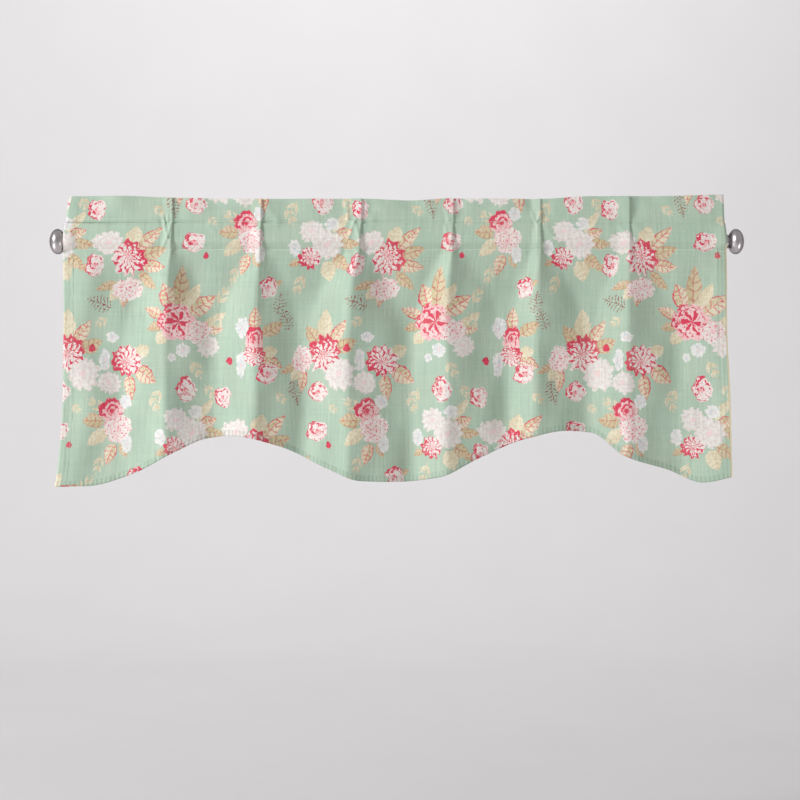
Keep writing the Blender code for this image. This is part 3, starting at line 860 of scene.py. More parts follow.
# Its flowers, in millimetres from its middle. tall: height against width; turn, in whole turns,
# sets their dark side.
Flower = namedtuple("Flower", "kind x z radius tall turn")
FLOWERS = {
    "great mum": (
        Flower("mum", 2, 2, 30, 1.1, 0.12),
        Flower("white", -30, 26, 26, 0.8, 0.1),
        Flower("bud", -50, -10, 15, 1.3, 0.45),
        Flower("blush", 2, -47, 26, 0.75, 0.3),
    ),
    "lone bud": (Flower("bud", 0, 2, 20, 0.85, 0.45), Flower("berry", 20, -20, 5, 1.2, 0.1)),
    "rose posy": (
        Flower("rose", -6, 18, 21, 1.0, 0.35),
        Flower("blue", 16, 32, 11, 1.1, 0.2),
        Flower("blush", 6, -10, 24, 1.0, 0.5),
        Flower("blue", 20, -34, 9, 1.7, 0.6),
        Flower("bud", 38, -86, 15, 1.2, 0.3),
    ),
    "white posy": (
        Flower("white", -16, 20, 22, 0.9, 0.9),
        Flower("mum", -18, -24, 20, 1.0, 0.6),
        Flower("white", 10, -2, 25, 1.0, 0.2),
        Flower("blue", 14, 32, 12, 1.0, 0.4),
        Flower("blue", -42, -8, 10, 1.4, 0.9),
    ),
    "zinnia": (
        Flower("mum", 2, 0, 28, 0.95, 0.55),
        Flower("white", -26, -34, 20, 1.0, 0.4),
        Flower("blue", -34, 2, 9, 2.2, 0.4),
        Flower("blue", -22, 38, 11, 0.8, 0.3),
        Flower("berry", -54, 20, 6, 1.1, 0.4),
    ),
    "peony": (
        Flower("peony", 0, 0, 31, 1.05, 0.42),
        Flower("blush", 34, -16, 22, 0.9, 0.1),
        Flower("white", 50, -38, 19, 0.95, 0.7),
        Flower("blue", 10, -44, 12, 1.0, 0.3),
        Flower("blue", -8, -56, 7, 1.0, 0.8),
        Flower("bud", 14, -106, 17, 1.3, 0.38),
    ),
    "slender": (
        Flower("rose", 4, 6, 17, 1.3, 0.25),
        Flower("mum", 4, -20, 20, 0.95, 0.15),
        Flower("bud", 26, -48, 19, 0.9, 0.45),
        Flower("blue", -16, 24, 12, 1.5, 0.2),
        Flower("blue", -18, -34, 9, 2.4, 0.7),
        Flower("berry", -38, -28, 6, 1.2, 0.3),
        Flower("bud", -50, -86, 16, 1.1, 0.5),
    ),
    "full posy": (
        Flower("mum", 0, 2, 31, 1.0, 0.25),
        Flower("blush", -38, -6, 20, 1.1, 0.8),
        Flower("white", 26, -30, 28, 0.95, 0.6),
        Flower("bud", -12, -58, 18, 0.9, 0.4),
    ),
}

# Its leaves spread like fans about one point: from one direction to another, in degrees from
# the right, each starting and ending so far from the point. turn picks the first leaf's kind.
Fan = namedtuple("Fan", "x z first last count start stop width turn")
FANS = {
    "great mum": (
        Fan(0, 0, 74, 14, 3, 22, 66, 24, 0),
        Fan(4, -8, -6, -42, 2, 20, 56, 18, 1),
        Fan(0, -34, 196, 262, 3, 14, 44, 17, 2),
        Fan(-46, -12, 186, 186, 1, 12, 34, 13, 2),
    ),
    "rose posy": (
        Fan(0, 0, 176, 222, 2, 18, 50, 22, 2),
        Fan(4, -14, 254, 290, 2, 20, 52, 17, 1),
        Fan(38, -86, 24, 24, 1, 8, 30, 12, 2),
    ),
    "white posy": (
        Fan(4, 4, 52, -8, 3, 20, 54, 18, 0),
        Fan(4, -12, -34, -72, 2, 18, 52, 22, 2),
        Fan(-18, -24, 200, 200, 1, 16, 38, 14, 2),
    ),
    "zinnia": (
        Fan(2, 0, 30, -34, 2, 20, 54, 24, 0),
        Fan(2, 0, -82, -82, 1, 22, 66, 22, 1),
    ),
    "peony": (
        Fan(0, 0, 112, 34, 4, 24, 76, 26, 1),
        Fan(0, 0, 158, 226, 3, 24, 52, 18, 1),
        Fan(34, -14, 34, 6, 2, 14, 48, 19, 0),
    ),
    "slender": (
        Fan(4, 6, 88, 28, 2, 16, 50, 20, 1),
        Fan(4, -20, 12, -22, 2, 16, 44, 20, 0),
    ),
    "full posy": (
        Fan(0, 0, 124, 22, 4, 22, 66, 24, 2),
        Fan(-34, -10, 204, 262, 3, 12, 44, 16, 2),
    ),
}
FAN_KINDS = ("cream", "lined", "tan")
FAN_UNEVENNESS = 0.16
LENGTHS_VARY = 2.4
WIDTHS_VARY = 4.1

# Small sprigs and twigs between the bouquets: stalk, tip, width
Sprig = namedtuple("Sprig", "kind x z x_tip z_tip width")
SPRIGS = {
    "great mum": (Sprig("twig", -24, -76, -62, -62, 28), Sprig("spray", -30, -92, -50, -106, 17)),
    "lone bud": (Sprig("spray", 20, 44, 36, 30, 15),),
    "rose posy": (Sprig("spray", -14, 18, -46, 38, 20), Sprig("spray", -20, -50, -26, -84, 17)),
    "white posy": (Sprig("spray", -24, -46, -36, -84, 20), Sprig("twig", -62, -112, -58, -76, 24)),
    "zinnia": (Sprig("spray", 44, -50, 58, -84, 20),),
    "peony": (
        Sprig("spray", 22, -60, 40, -90, 20),
        Sprig("spray", 62, 26, 82, 58, 19),
        Sprig("spray", 44, -98, 62, -122, 18),
        Sprig("spray", -24, -104, -42, -134, 20),
    ),
    "slender": (Sprig("spray", -54, 16, -70, 50, 18), Sprig("spray", 38, -78, 60, -96, 16)),
    "full posy": (Sprig("twig", -60, 40, -74, 76, 24), Sprig("twig", -54, -40, -46, -80, 24)),
}


# How the brush wanders: a noise of this scale bends the plane across this reach, in millimetres
# for the whole print, and in half sizes for a flower or a leaf. MOTIFS_APART keeps the noise of
# one motif apart from the next one's.
Bend = namedtuple("Bend", "scale reach")
PRINT_BEND = Bend(scale=0.22, reach=2.6)
FLOWER_BEND = Bend(scale=1.4, reach=0.42)
LEAF_BEND = Bend(scale=1.1, reach=0.34)
MOTIFS_APART = (17.3, 5.1)

# A flower's strokes: how much broader they are on its dark side and outwards, and how broad
# at least. The ragged values say how far the brush's grain moves an edge, and a pair of values
# is where an edge starts and ends.
Stroke = namedtuple("Stroke", "dark_side outward least")
WEDGE = Stroke(dark_side=0.4, outward=0.7, least=0.25)
CRESCENT = Stroke(dark_side=0.55, outward=0.0, least=0.15)
FLAME = Stroke(dark_side=0.0, outward=1.25, least=0.22)
RIM = Stroke(dark_side=0.42, outward=0.3, least=0.46)
FLOWER_GRAIN = 0.20
NOTCH_DEPTH = 0.22
OUTLINE_RAGGED = 0.22
OUTLINE_EDGE = (1.0, 0.95)
RING_STAGGER = 0.62
PETAL_BOW = 0.30
STROKE_RAGGED = 0.75
STROKE_EDGE = (-0.02, 0.08)
SHADE_INWARD = 0.7
SHADE_RAGGED = 1.6
HEART_EDGE = (0.24, 0.12)
DEEP_PATCHES = (0.0, 0.15)
DEEPEST = 0.8
DEEP_EDGE = (-0.4, 0.3)
FLECK_GRAIN = 0.33
FLECK_EDGE = (0.69, 0.74)

# A leaf's outline, veins and shading, in the same terms
LEAF_GRAIN = 0.26
LEAF_WIDEST = 0.78
LEAF_FULLNESS = 0.75
LEAST_WIDTH = 0.0001
LEAF_RAGGED = 0.30
LEAF_EDGE = (1.0, 0.92)
RIB_EDGE = (0.10, 0.04)
VEIN_SLANT = 0.9
VEIN_RAGGED = 0.3
VEIN_EDGE = (0.17, 0.06)
LEAFLET_END = 1.05
LEAFLET_EDGE = (0.05, -0.03)
DOT_GRAIN = 0.42
DOT_EDGE = (0.52, 0.44)
SIDE_EDGE = (-0.1, 0.2)
LEAF_MOTTLED = 2.2
LEAF_DARK_SIDE = 0.55
LEAF_RIM = (0.72, 0.86)
LEAF_RIM_VARIES = 0.75
LINE_BREAKS = (-0.20, 0.0)


def bouquet_places(wiring, place):
    """The flat sheet's millimetres seen from the nearest copy of each bouquet's middle."""
    half = REPEAT_ACROSS / 2
    column, slant, drop = 1 / REPEAT_ACROSS, half / REPEAT_ACROSS / REPEAT_DOWN, -1 / REPEAT_DOWN
    columns = wiring.measure("DOT_PRODUCT", place, (column, slant, 0))
    drops = wiring.measure("DOT_PRODUCT", place, (0, drop, 0))
    repeats = wiring.join(columns, drops)
    places = {}
    for name, (across, up) in BOUQUETS.items():
        middle = (across * column + up * slant, up * drop, 0)
        away = wiring.vector("SUBTRACT", repeats, middle)
        near = wiring.vector("WRAP", away, (0.5, 0.5, 0.5), (-0.5, -0.5, -0.5))
        x = wiring.measure("DOT_PRODUCT", near, (REPEAT_ACROSS, half, 0))
        z = wiring.measure("DOT_PRODUCT", near, (0, -REPEAT_DOWN, 0))
        places[name] = wiring.join(x, z)
    return places


def nearest(wiring, found):
    """The nearest of several motifs. found gives each one's place within it and its code.

    Returns the place within the nearest one, in its own half sizes, and its code.
    """
    best = None
    for within, code in found:
        reach = wiring.measure("LENGTH", within)
        if best is None:
            best = (within, wiring.plus(code, 0.0), reach)
            continue
        nearer = wiring.math("LESS_THAN", reach, best[2])
        best = (
            wiring.choose_place(nearer, best[0], within),
            wiring.choose(nearer, best[1], code),
            wiring.math("MINIMUM", reach, best[2]),
        )
    return best[:2]


def nearest_flower(wiring, places):
    """Place within the nearest flower, and its kind and turn as one number."""
    kinds = list(BLOOM_KINDS)
    found = []
    for bouquet, flowers in FLOWERS.items():
        for flower in flowers:
            size = (1 / flower.radius, 1 / flower.radius / flower.tall, 0)
            shift = (-flower.x * size[0], -flower.z * size[1], 0)
            within = wiring.vector("MULTIPLY_ADD", places[bouquet], size, shift)
            found.append((within, kinds.index(flower.kind) + flower.turn))
    return nearest(wiring, found)


def fan_leaves(fan):
    """A fan's leaves, of uneven length and width."""
    leaves = []
    for i in range(fan.count):
        way = math.radians(blend(fan.first, fan.last, i / max(1, fan.count - 1)))
        longer = 1 + FAN_UNEVENNESS * math.sin(LENGTHS_VARY * i + fan.first)
        wider = 1 + FAN_UNEVENNESS * math.sin(WIDTHS_VARY * i + fan.last)
        kind = FAN_KINDS[(i + fan.turn) % len(FAN_KINDS)]
        x, z, x_tip, z_tip = (
            middle + reach * run
            for reach in (fan.start, fan.stop * longer)
            for middle, run in ((fan.x, math.cos(way)), (fan.z, math.sin(way)))
        )
        leaves.append(Sprig(kind, x, z, x_tip, z_tip, fan.width * wider))
    return leaves


def nearest_leaf(wiring, places):
    """Place along and across the nearest leaf or sprig, and its kind."""
    kinds = list(LEAF_KINDS)
    found = []
    for bouquet, place in places.items():
        leaves = [leaf for fan in FANS.get(bouquet, ()) for leaf in fan_leaves(fan)]
        for leaf in (*leaves, *SPRIGS[bouquet]):
            middle = ((leaf.x + leaf.x_tip) / 2, (leaf.z + leaf.z_tip) / 2, 0)
            run = (leaf.x_tip - leaf.x, leaf.z_tip - leaf.z)
            inputs = {"Vector": place, "Center": middle, "Angle": -math.atan2(run[1], run[0])}
            turned = wiring.add("VectorRotate", inputs, rotation_type="Z_AXIS").outputs[0]
            size = (2 / math.hypot(*run), 2 / leaf.width, 0)
            shift = (-middle[0] * size[0], -middle[1] * size[1], 0)
            within = wiring.vector("MULTIPLY_ADD", turned, size, shift)
            found.append((within, float(kinds.index(leaf.kind))))
    return nearest(wiring, found)


def bend_plane(wiring, within, at, bend):
    """Bends a plane by a soft noise that is read at another place."""
    noise = {"Vector": at, "Scale": bend.scale, "Detail": 1.0}
    colour = wiring.add("TexNoise", noise, noise_dimensions="2D").outputs["Color"]
    moved = wiring.vector("MULTIPLY_ADD", colour, (bend.reach, bend.reach, 0), within)
    return wiring.vector("SUBTRACT", moved, (bend.reach / 2, bend.reach / 2, 0))


def unsteady(wiring, within, code, bend):
    """Bends a motif's plane a little, another way for each motif, as a brush wanders."""
    start = wiring.join(*(wiring.times(code, far) for far in MOTIFS_APART))
    return bend_plane(wiring, within, wiring.vector("ADD", within, start), bend)


def traits(wiring, kind, kinds, *names):
    """Up to three of a motif kind's numbers, each between 0 and 1."""
    rows = [[getattr(one, name) for name in names] + [0.0] * (3 - len(names)) for one in kinds]
    return wiring.split(wiring.by_kind(kind, rows))


def paint_flower(wiring, place, within, code):
    """Colour and cover of the nearest flower."""
    math_node, step = wiring.math, wiring.soft_step
    plus, minus, times, times_plus = wiring.plus, wiring.minus, wiring.times, wiring.times_plus
    kinds = list(BLOOM_KINDS.values())
    kind = math_node("FLOOR", code)
    field, shade, ink, heart = (
        wiring.by_kind(kind, [getattr(bloom, name) for bloom in kinds])
        for name in ("field", "shade", "ink", "heart")
    )
    shares = [
        bloom._replace(
            petals=bloom.petals / MOST_PETALS, rows=bloom.rows / MOST_ROWS, rim=bloom.rim / MOST_RIM
        )
        for bloom in kinds
    ]
    petals, rows, swirl = traits(wiring, kind, shares, "petals", "rows", "swirl")
    pointed, rim, flecks = traits(wiring, kind, shares, "pointed", "rim", "flecks")
    wedges, crescents, flames = traits(wiring, kind, shares, "wedges", "crescents", "flames")

    within = unsteady(wiring, within, code, FLOWER_BEND)
    ragged = minus(wiring.noise(place, FLOWER_GRAIN, 2.0), 0.5)
    x, z, _ = wiring.split(within)
    reach = wiring.measure("LENGTH", within)
    turn = times(math_node("FRACT", code), 2 * math.pi)
    angle = minus(math_node("ARCTAN2", z, x), turn)
    turns = math_node("DIVIDE", angle, 2 * math.pi)
    dark_side = times_plus(math_node("COSINE", angle), 0.5, 0.5)

    count = math_node("ROUND", times(petals, MOST_PETALS))
    count = times(turns, count)
    tooth = math_node("PINGPONG", count, 0.5)
    bulge = math_node("ABSOLUTE", math_node("SINE", times(count, math.pi)))
    lobe = wiring.choose(pointed, math_node("SQRT", bulge), times(tooth, 2.0))
    share = math_node("DIVIDE", reach, times_plus(lobe, NOTCH_DEPTH, 1 - NOTCH_DEPTH))
    cover = step(times_plus(ragged, OUTLINE_RAGGED, share), *OUTLINE_EDGE)

    winding = times(swirl, turns)
    ring = times_plus(share, times(rows, MOST_ROWS), winding)
    shifted = times_plus(math_node("FLOOR", ring), RING_STAGGER, count)
    petal = math_node("ABSOLUTE", math_node("SINE", times(shifted, math.pi)))
    along = math_node("FRACT", times_plus(petal, -PETAL_BOW, ring))

    # Each kind of stroke is inked where it comes out over 0
    wedge = times_plus(dark_side, WEDGE.dark_side, times_plus(along, WEDGE.outward, WEDGE.least))
    wedge = minus(times(wedge, wedges), petal)
    crescent = times(crescents, times_plus(dark_side, CRESCENT.dark_side, CRESCENT.least))
    crescent = minus(plus(along, crescent), 1.0)
    flame = minus(times(times_plus(share, -FLAME.outward, bulge), flames), FLAME.least)
    edge = times_plus(dark_side, RIM.dark_side, times_plus(tooth, RIM.outward, share))
    edge = minus(times_plus(rim, -MOST_RIM, edge), RIM.least)
    stroke = math_node("MAXIMUM", math_node("MAXIMUM", wedge, crescent), math_node("MAXIMUM", flame, edge))
    inked = step(times_plus(ragged, STROKE_RAGGED, stroke), *STROKE_EDGE)

    soft = times_plus(along, -SHADE_INWARD, SHADE_INWARD)
    soft = times_plus(ragged, SHADE_RAGGED, soft, clamp=True)
    colour = wiring.tint(soft, field, shade)
    colour = wiring.tint(step(reach, *HEART_EDGE), colour, heart)
    deep = wiring.tint(step(ragged, *DEEP_PATCHES, high=DEEPEST), ink, DEEP_RED)
    deep = wiring.tint(step(plus(edge, flame), *DEEP_EDGE), ink, deep)
    colour = wiring.tint(inked, colour, deep)
    speck = times(step(wiring.noise(place, FLECK_GRAIN), *FLECK_EDGE), flecks)
    return wiring.tint(speck, colour, CRIMSON), cover


def paint_leaf(wiring, place, within, code):
    """Colour and cover of the nearest leaf or sprig."""
    math_node, step = wiring.math, wiring.soft_step
    minus, times, times_plus = wiring.minus, wiring.times, wiring.times_plus
    kinds = list(LEAF_KINDS.values())
    fill, shade, line = (
        wiring.by_kind(code, [getattr(leaf, name) for leaf in kinds]) for name in ("fill", "shade", "line")
    )
    shares = [leaf._replace(pairs=leaf.pairs / MOST_PAIRS) for leaf in kinds]
    veins, outline, leaflets = traits(wiring, code, shares, "veins", "outline", "leaflets")
    pairs, breadth, dotted = traits(wiring, code, shares, "pairs", "breadth", "dotted")

    within = unsteady(wiring, within, code, LEAF_BEND)
    ragged = minus(wiring.noise(place, LEAF_GRAIN, 2.0), 0.5)
    along, aside, _ = wiring.split(within)
    share = times_plus(along, 0.5, 0.5, clamp=True)
    across = math_node("ABSOLUTE", aside)
    bow = math_node("SINE", times(math_node("POWER", share, LEAF_WIDEST), math.pi))
    half_width = math_node("POWER", math_node("MAXIMUM", bow, LEAST_WIDTH), LEAF_FULLNESS)
    rim = times_plus(ragged, LEAF_RAGGED, math_node("DIVIDE", across, half_width))
    inside = step(rim, *LEAF_EDGE)

    rib = step(across, *RIB_EDGE)
    vein = times(share, times(pairs, MOST_PAIRS))
    vein = math_node("FRACT", times_plus(across, -VEIN_SLANT, vein))
    off = math_node("ABSOLUTE", minus(vein, 0.5))
    vein = step(times_plus(ragged, VEIN_RAGGED, off), *VEIN_EDGE)
    full = math_node("SQRT", times(across, minus(LEAFLET_END, rim), clamp=True))
    full = times(full, times(breadth, 2.0))
    leaflet = step(minus(off, full), *LEAFLET_EDGE)
    gaps = times(step(wiring.noise(place, DOT_GRAIN), *DOT_EDGE), dotted)
    leaflet = minus(math_node("MAXIMUM", leaflet, rib), gaps, clamp=True)
    cover = times(inside, wiring.choose(leaflets, 1.0, leaflet))

    one_side = step(aside, *SIDE_EDGE)
    deeper = times_plus(ragged, LEAF_MOTTLED, times(one_side, LEAF_DARK_SIDE), clamp=True)
    colour = wiring.tint(deeper, fill, shade)
    edge = times(step(rim, *LEAF_RIM), times_plus(one_side, LEAF_RIM_VARIES, 1 - LEAF_RIM_VARIES))
    edge = times(edge, outline)
    lines = times(math_node("MAXIMUM", rib, vein), step(ragged, *LINE_BREAKS))
    lines = times(lines, veins)
    return wiring.tint(math_node("MAXIMUM", edge, lines), colour, line), cover


def make_print_group():
    """The floral print: colour and ink cover from millimetres across and up the flat sheet."""
    tree, wiring, entry, put_out = new_group(
        "floral print",
        [("Cloth Place", "Vector"), ("Ground", "Color")],
        [("Color", "Color"), ("Ink", "Float")],
    )
    place = bend_plane(wiring, entry[0], entry[0], PRINT_BEND)
    places = bouquet_places(wiring, place)
    within, code = nearest_leaf(wiring, places)
    leaf, leaf_cover = paint_leaf(wiring, place, within, code)
    colour = wiring.tint(leaf_cover, entry[1], leaf)
    within, code = nearest_flower(wiring, places)
    flower, flower_cover = paint_flower(wiring, place, within, code)
    colour = wiring.tint(flower_cover, colour, flower)
    put_out(Color=colour, Ink=wiring.math("MAXIMUM", leaf_cover, flower_cover))
    return tree


# ---------------------------------------------------------------- finishes

# The weave: its noises' scales, and for each way of its threads how it is drawn out and how
# strongly it shows
WEAVE_PATCHES = 0.035
SLUB_SCALE = 0.30
THREAD_SCALE = 1.9
THREAD_SHARE = 0.45
THREAD_WAYS = (((1.0, 0.045, 1.0), 1.75), ((0.035, 1.0, 1.0), 0.75))
SLUB_STRENGTH = 0.15

# The cotton's soft clouds of tone, the painted shade in its hem puckers and where its hems lie doubled,
# its bare selvedge and its reverse
CLOUD_TINT = (0.62, 0.56, 0.44)
CLOUD_SCALE = 0.020
CLOUD_SHARE = 0.10
PAINTED_SHADE_GREEN = (0.12, 0.20, 0.15)
PUCKER_SCALE = 0.048
PUCKER_SHADE = 0.26
DOUBLED_SHADE = 0.02
SELVEDGE_CREAM = (0.86, 0.76, 0.50)
SELVEDGE_TOP = 8.0
REVERSE_SAGE = (0.52, 0.60, 0.51)
REVERSE_FADED = 0.62

# Each thread's colour: darker in the grooves of its twist, as painted shade, and lighter on its crests
TWIST_SCALE = 900.0
PALE_THREAD = ((0.66, 0.74, 0.64), (0.84, 0.90, 0.80))
SAGE_THREAD = ((0.44, 0.55, 0.45), (0.55, 0.66, 0.55))

# The metals, their dark edge tint, which paints shade at their rims, and the lines that turning leaves, by
# scale along the rod and across it
PEWTER = (0.60, 0.565, 0.59)
STEEL = (0.42, 0.41, 0.42)
WORN_METAL = (0.30, 0.28, 0.295)
RIM_PAINTED_SHADE = (0.30, 0.29, 0.30, 1)
TURNING_LINES = (5200, 40, 40)
SMOOTHEST = 0.23
ROUGHER_WHERE_WORN = 0.14


def make_weave_group():
    """Slub weave: uneven threads both ways, as a tone about 1 and a height from 0 to 1."""
    tree, wiring, entry, put_out = new_group(
        "slub weave",
        [("Cloth Place", "Vector"), ("Slubs", "Float")],
        [("Tone", "Float"), ("Height", "Float")],
    )
    tones = []
    patches = wiring.noise(entry[0], WEAVE_PATCHES, 1.0)
    for stretch, strength in THREAD_WAYS:
        threads = wiring.vector("MULTIPLY", entry[0], stretch)
        slub = wiring.noise(threads, SLUB_SCALE, 3.0)
        thread = wiring.noise(threads, THREAD_SCALE)
        thread = wiring.times_plus(thread, THREAD_SHARE, slub)
        thread = wiring.minus(thread, (1 + THREAD_SHARE) / 2)
        tones.append(wiring.times(thread, wiring.times(patches, 2 * strength)))
    both = wiring.plus(tones[0], tones[1])
    put_out(
        Tone=wiring.times_plus(both, entry[1], 1.0),
        Height=wiring.times_plus(both, 0.5, 0.5),
    )
    return tree


def make_metal_group():
    """Satin metal: fine turning lines about the rod's axis, and soft handling marks."""
    tree, wiring, entry, put_out = new_group(
        "satin metal",
        [("Color", "Color"), ("Marks", "Float"), ("Lines", "Float")],
        [("Color", "Color"), ("Roughness", "Float"), ("Height", "Float")],
    )
    place = wiring.add("TexCoord", {}).outputs["Object"]
    rings = wiring.vector("MULTIPLY", place, TURNING_LINES)
    line = wiring.add("TexNoise", {"Vector": rings, "Scale": 1.0, "Detail": 2.0}).outputs["Fac"]
    cloud = wiring.add("TexNoise", {"Vector": place, "Scale": 90.0, "Detail": 4.0}).outputs["Fac"]
    worn = wiring.times(wiring.soft_step(cloud, 0.42, 0.68), entry[1])
    colour = wiring.tint(worn, entry[0], WORN_METAL)
    roughness = wiring.plus(line, worn)
    roughness = wiring.times_plus(roughness, ROUGHER_WHERE_WORN, SMOOTHEST)
    put_out(Color=colour, Roughness=roughness, Height=wiring.times(line, entry[2]))
    return tree


def new_material(name):
    material = bpy.data.materials.new(name)
    material.use_nodes = True
    wiring = Wiring(material.node_tree)
    shader = material.node_tree.nodes["Principled BSDF"]
    return material, wiring, shader


def cloth_place(wiring):
    """Millimetres across and up the flat sheet."""
    flat = wiring.add("UVMap", {}, uv_map="flat sheet").outputs[0]
    return wiring.vector("MULTIPLY", flat, (1 / MILLIMETRE, 1 / MILLIMETRE, 0))


def make_cotton(name, print_group, weave_group, faded, ground, roughness):
    """Printed cotton. faded is how far the print has gone back to the ground's colour."""
    material, wiring, shader = new_material(name)
    link = material.node_tree.links.new
    place = cloth_place(wiring)
    printed = wiring.group(print_group, {"Cloth Place": place, "Ground": solid(ground)})
    weave = wiring.group(weave_group, {"Cloth Place": place, "Slubs": SLUB_STRENGTH})
    cloud = wiring.noise(place, CLOUD_SCALE, 3.0)
    cloud = wiring.soft_step(cloud, 0.35, 0.75, high=CLOUD_SHARE)
    colour = wiring.tint(cloud, printed["Color"], CLOUD_TINT)
    colour = wiring.tint(faded, colour, ground)
    # Painted shade: the cotton darkens towards a shade green where the hems lie doubled, and more in the
    # hollows of the hem's puckers
    doubled = wiring.add("Attribute", {}, attribute_name="doubled").outputs["Fac"]
    waves = {"Vector": place, "Scale": PUCKER_SCALE, "Distortion": 1.6, "Detail": 1.0}
    pucker = wiring.times(wiring.add("TexWave", waves).outputs["Fac"], doubled)
    shaded = wiring.times(doubled, DOUBLED_SHADE)
    shaded = wiring.times_plus(pucker, PUCKER_SHADE, shaded)
    colour = wiring.tint(shaded, colour, PAINTED_SHADE_GREEN)
    across, up, _ = wiring.split(place)
    bare = wiring.math("GREATER_THAN", across, (FLAT_WIDTH - SELVEDGE_WIDTH) / MILLIMETRE)
    bare = wiring.times(bare, wiring.math("LESS_THAN", up, SELVEDGE_TOP))
    colour = wiring.tint(bare, colour, SELVEDGE_CREAM)
    tone = wiring.join(weave["Tone"], weave["Tone"], weave["Tone"])
    colour = wiring.tint(1.0, colour, tone, "MULTIPLY")
    link(colour, shader.inputs["Base Color"])
    shader.inputs["Roughness"].default_value = roughness
    shader.inputs["Specular IOR Level"].default_value = 0.25
    shader.inputs["Sheen Weight"].default_value = 0.12
    shader.inputs["Sheen Roughness"].default_value = 0.5
    height = wiring.times_plus(pucker, -1.2, weave["Height"])
    bump = wiring.add("Bump", {"Height": height, "Distance": 0.00025, "Strength": 0.7})
    link(bump.outputs[0], shader.inputs["Normal"])
    return material


def make_thread(name, dark, light):
    """Sewing thread: two plies twisted together, painted darker in the twist's grooves as shade."""
    material, wiring, shader = new_material(name)
    place = wiring.add("TexCoord", {}).outputs["Object"]
    plies = {"Vector": place, "Scale": TWIST_SCALE}
    twist = wiring.add("TexWave", plies, bands_direction="DIAGONAL").outputs["Fac"]
    # Painted shade: the twist's grooves, low in the bump, take the dark colour
    colour = wiring.tint(twist, dark, light)
    material.node_tree.links.new(colour, shader.inputs["Base Color"])
    bump = wiring.add("Bump", {"Height": twist, "Distance": 0.0001, "Strength": 0.5})
    material.node_tree.links.new(bump.outputs[0], shader.inputs["Normal"])
    shader.inputs["Roughness"].default_value = 0.6
    return material


def make_metal(name, metal_group, colour, marks):
    material, wiring, shader = new_material(name)
    link = material.node_tree.links.new
    satin = wiring.group(metal_group, {"Color": solid(colour), "Marks": marks, "Lines": 1.0})
    link(satin["Color"], shader.inputs["Base Color"])
    link(satin["Roughness"], shader.inputs["Roughness"])
    bump = wiring.add("Bump", {"Height": satin["Height"], "Distance": 0.00004, "Strength": 0.4})
    link(bump.outputs[0], shader.inputs["Normal"])
    shader.inputs["Metallic"].default_value = 1.0
    # Painted shade: the edge reflections are tinted dark, so the rims of the knobs and rod look shaded
    shader.inputs["Specular Tint"].default_value = RIM_PAINTED_SHADE
    return material


# ---------------------------------------------------------------- the pieces


def new_object(name, mesh, *materials):
    piece = bpy.data.objects.new(name, mesh)
    bpy.context.scene.collection.objects.link(piece)
    for material in materials:
        mesh.materials.append(material)
    return piece


def grid_mesh(name, points, flat_places, doubled=None):
    """A sheet's mesh from rows of points, with each point's place on the flat sheet.

    doubled is 1 where a hem's turning lies behind the point, and 0 elsewhere. The cotton is painted darker
    by it, as shade.
    """
    row_count, column_count = points.shape[:2]
    sheet = bmesh.new()
    bmesh.ops.create_grid(sheet, x_segments=column_count - 1, y_segments=row_count - 1, size=0.5)
    mesh = bpy.data.meshes.new(name)
    sheet.to_mesh(mesh)
    sheet.free()
    corners = np.zeros(len(mesh.vertices) * 3)
    mesh.vertices.foreach_get("co", corners)
    corners = corners.reshape(-1, 3)
    column = np.rint((corners[:, 0] + 0.5) * (column_count - 1)).astype(int)
    row = np.rint((corners[:, 1] + 0.5) * (row_count - 1)).astype(int)
    mesh.vertices.foreach_set("co", points[row, column].ravel())
    layer = mesh.uv_layers.new(name="flat sheet")
    owners = np.zeros(len(mesh.loops), int)
    mesh.loops.foreach_get("vertex_index", owners)
    layer.data.foreach_set("uv", flat_places[row, column][owners].ravel())
    if doubled is not None:
        hems = mesh.attributes.new("doubled", "FLOAT", "POINT")
        hems.data.foreach_set("value", doubled[row, column])
    mesh.shade_smooth()
    mesh.update()
    return mesh


def make_cloth(name, rows, flats, places, printed, reverse):
    """A piece of the cloth with its printed side out, from its rows' height, side and ply."""
    points = np.stack([hung_points(flats, height, side, ply) for height, side, ply in rows])
    # doubled marks the hems' turnings, where the cotton is painted darker as shade
    from_hem = points[..., 2] - np.interp(flats, HEM_FLATS, HEM_LINE)
    in_side = (flats < SIDE_HEM) | (flats > FLAT_WIDTH - SIDE_HEM)
    beside = SIDE_DOUBLING * in_side * (points[..., 2] < LOWER_STITCH)
    doubled = np.where(from_hem < BOTTOM_HEM, 1.0, beside)
    piece = new_object(name, grid_mesh(name, points, places, doubled), printed, reverse)
    thickness = piece.modifiers.new("cloth thickness", "SOLIDIFY")
    thickness.thickness = CLOTH_THICKNESS
    thickness.offset = 0
    thickness.use_even_offset = True
    thickness.use_quality_normals = True
    thickness.material_offset = 1
    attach(piece, "root")
    return piece


def make_valance(printed, reverse):
    """The whole cut length: turned-up hem, skirt, pocket, header and turned edge."""
    flats = column_flats()
    hem = np.interp(flats, HEM_FLATS, HEM_LINE)
    top = top_heights(flats)
    rows = sheet_rows(top, hem, mouth_share(flats, MARKS))[::-1]
    lengths = np.stack([lengthwise(height, side, ply, top, hem) for height, side, ply in rows])
    places = np.stack([np.broadcast_to(flats, lengths.shape), lengths], axis=-1)
    piece = make_cloth("valance", rows, flats, places, printed, reverse)
    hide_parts("valance_cloth")
    reach = lengths.max(axis=0) - lengths.min(axis=0)
    return piece, float(reach.max()), float(np.trapz(reach, flats))


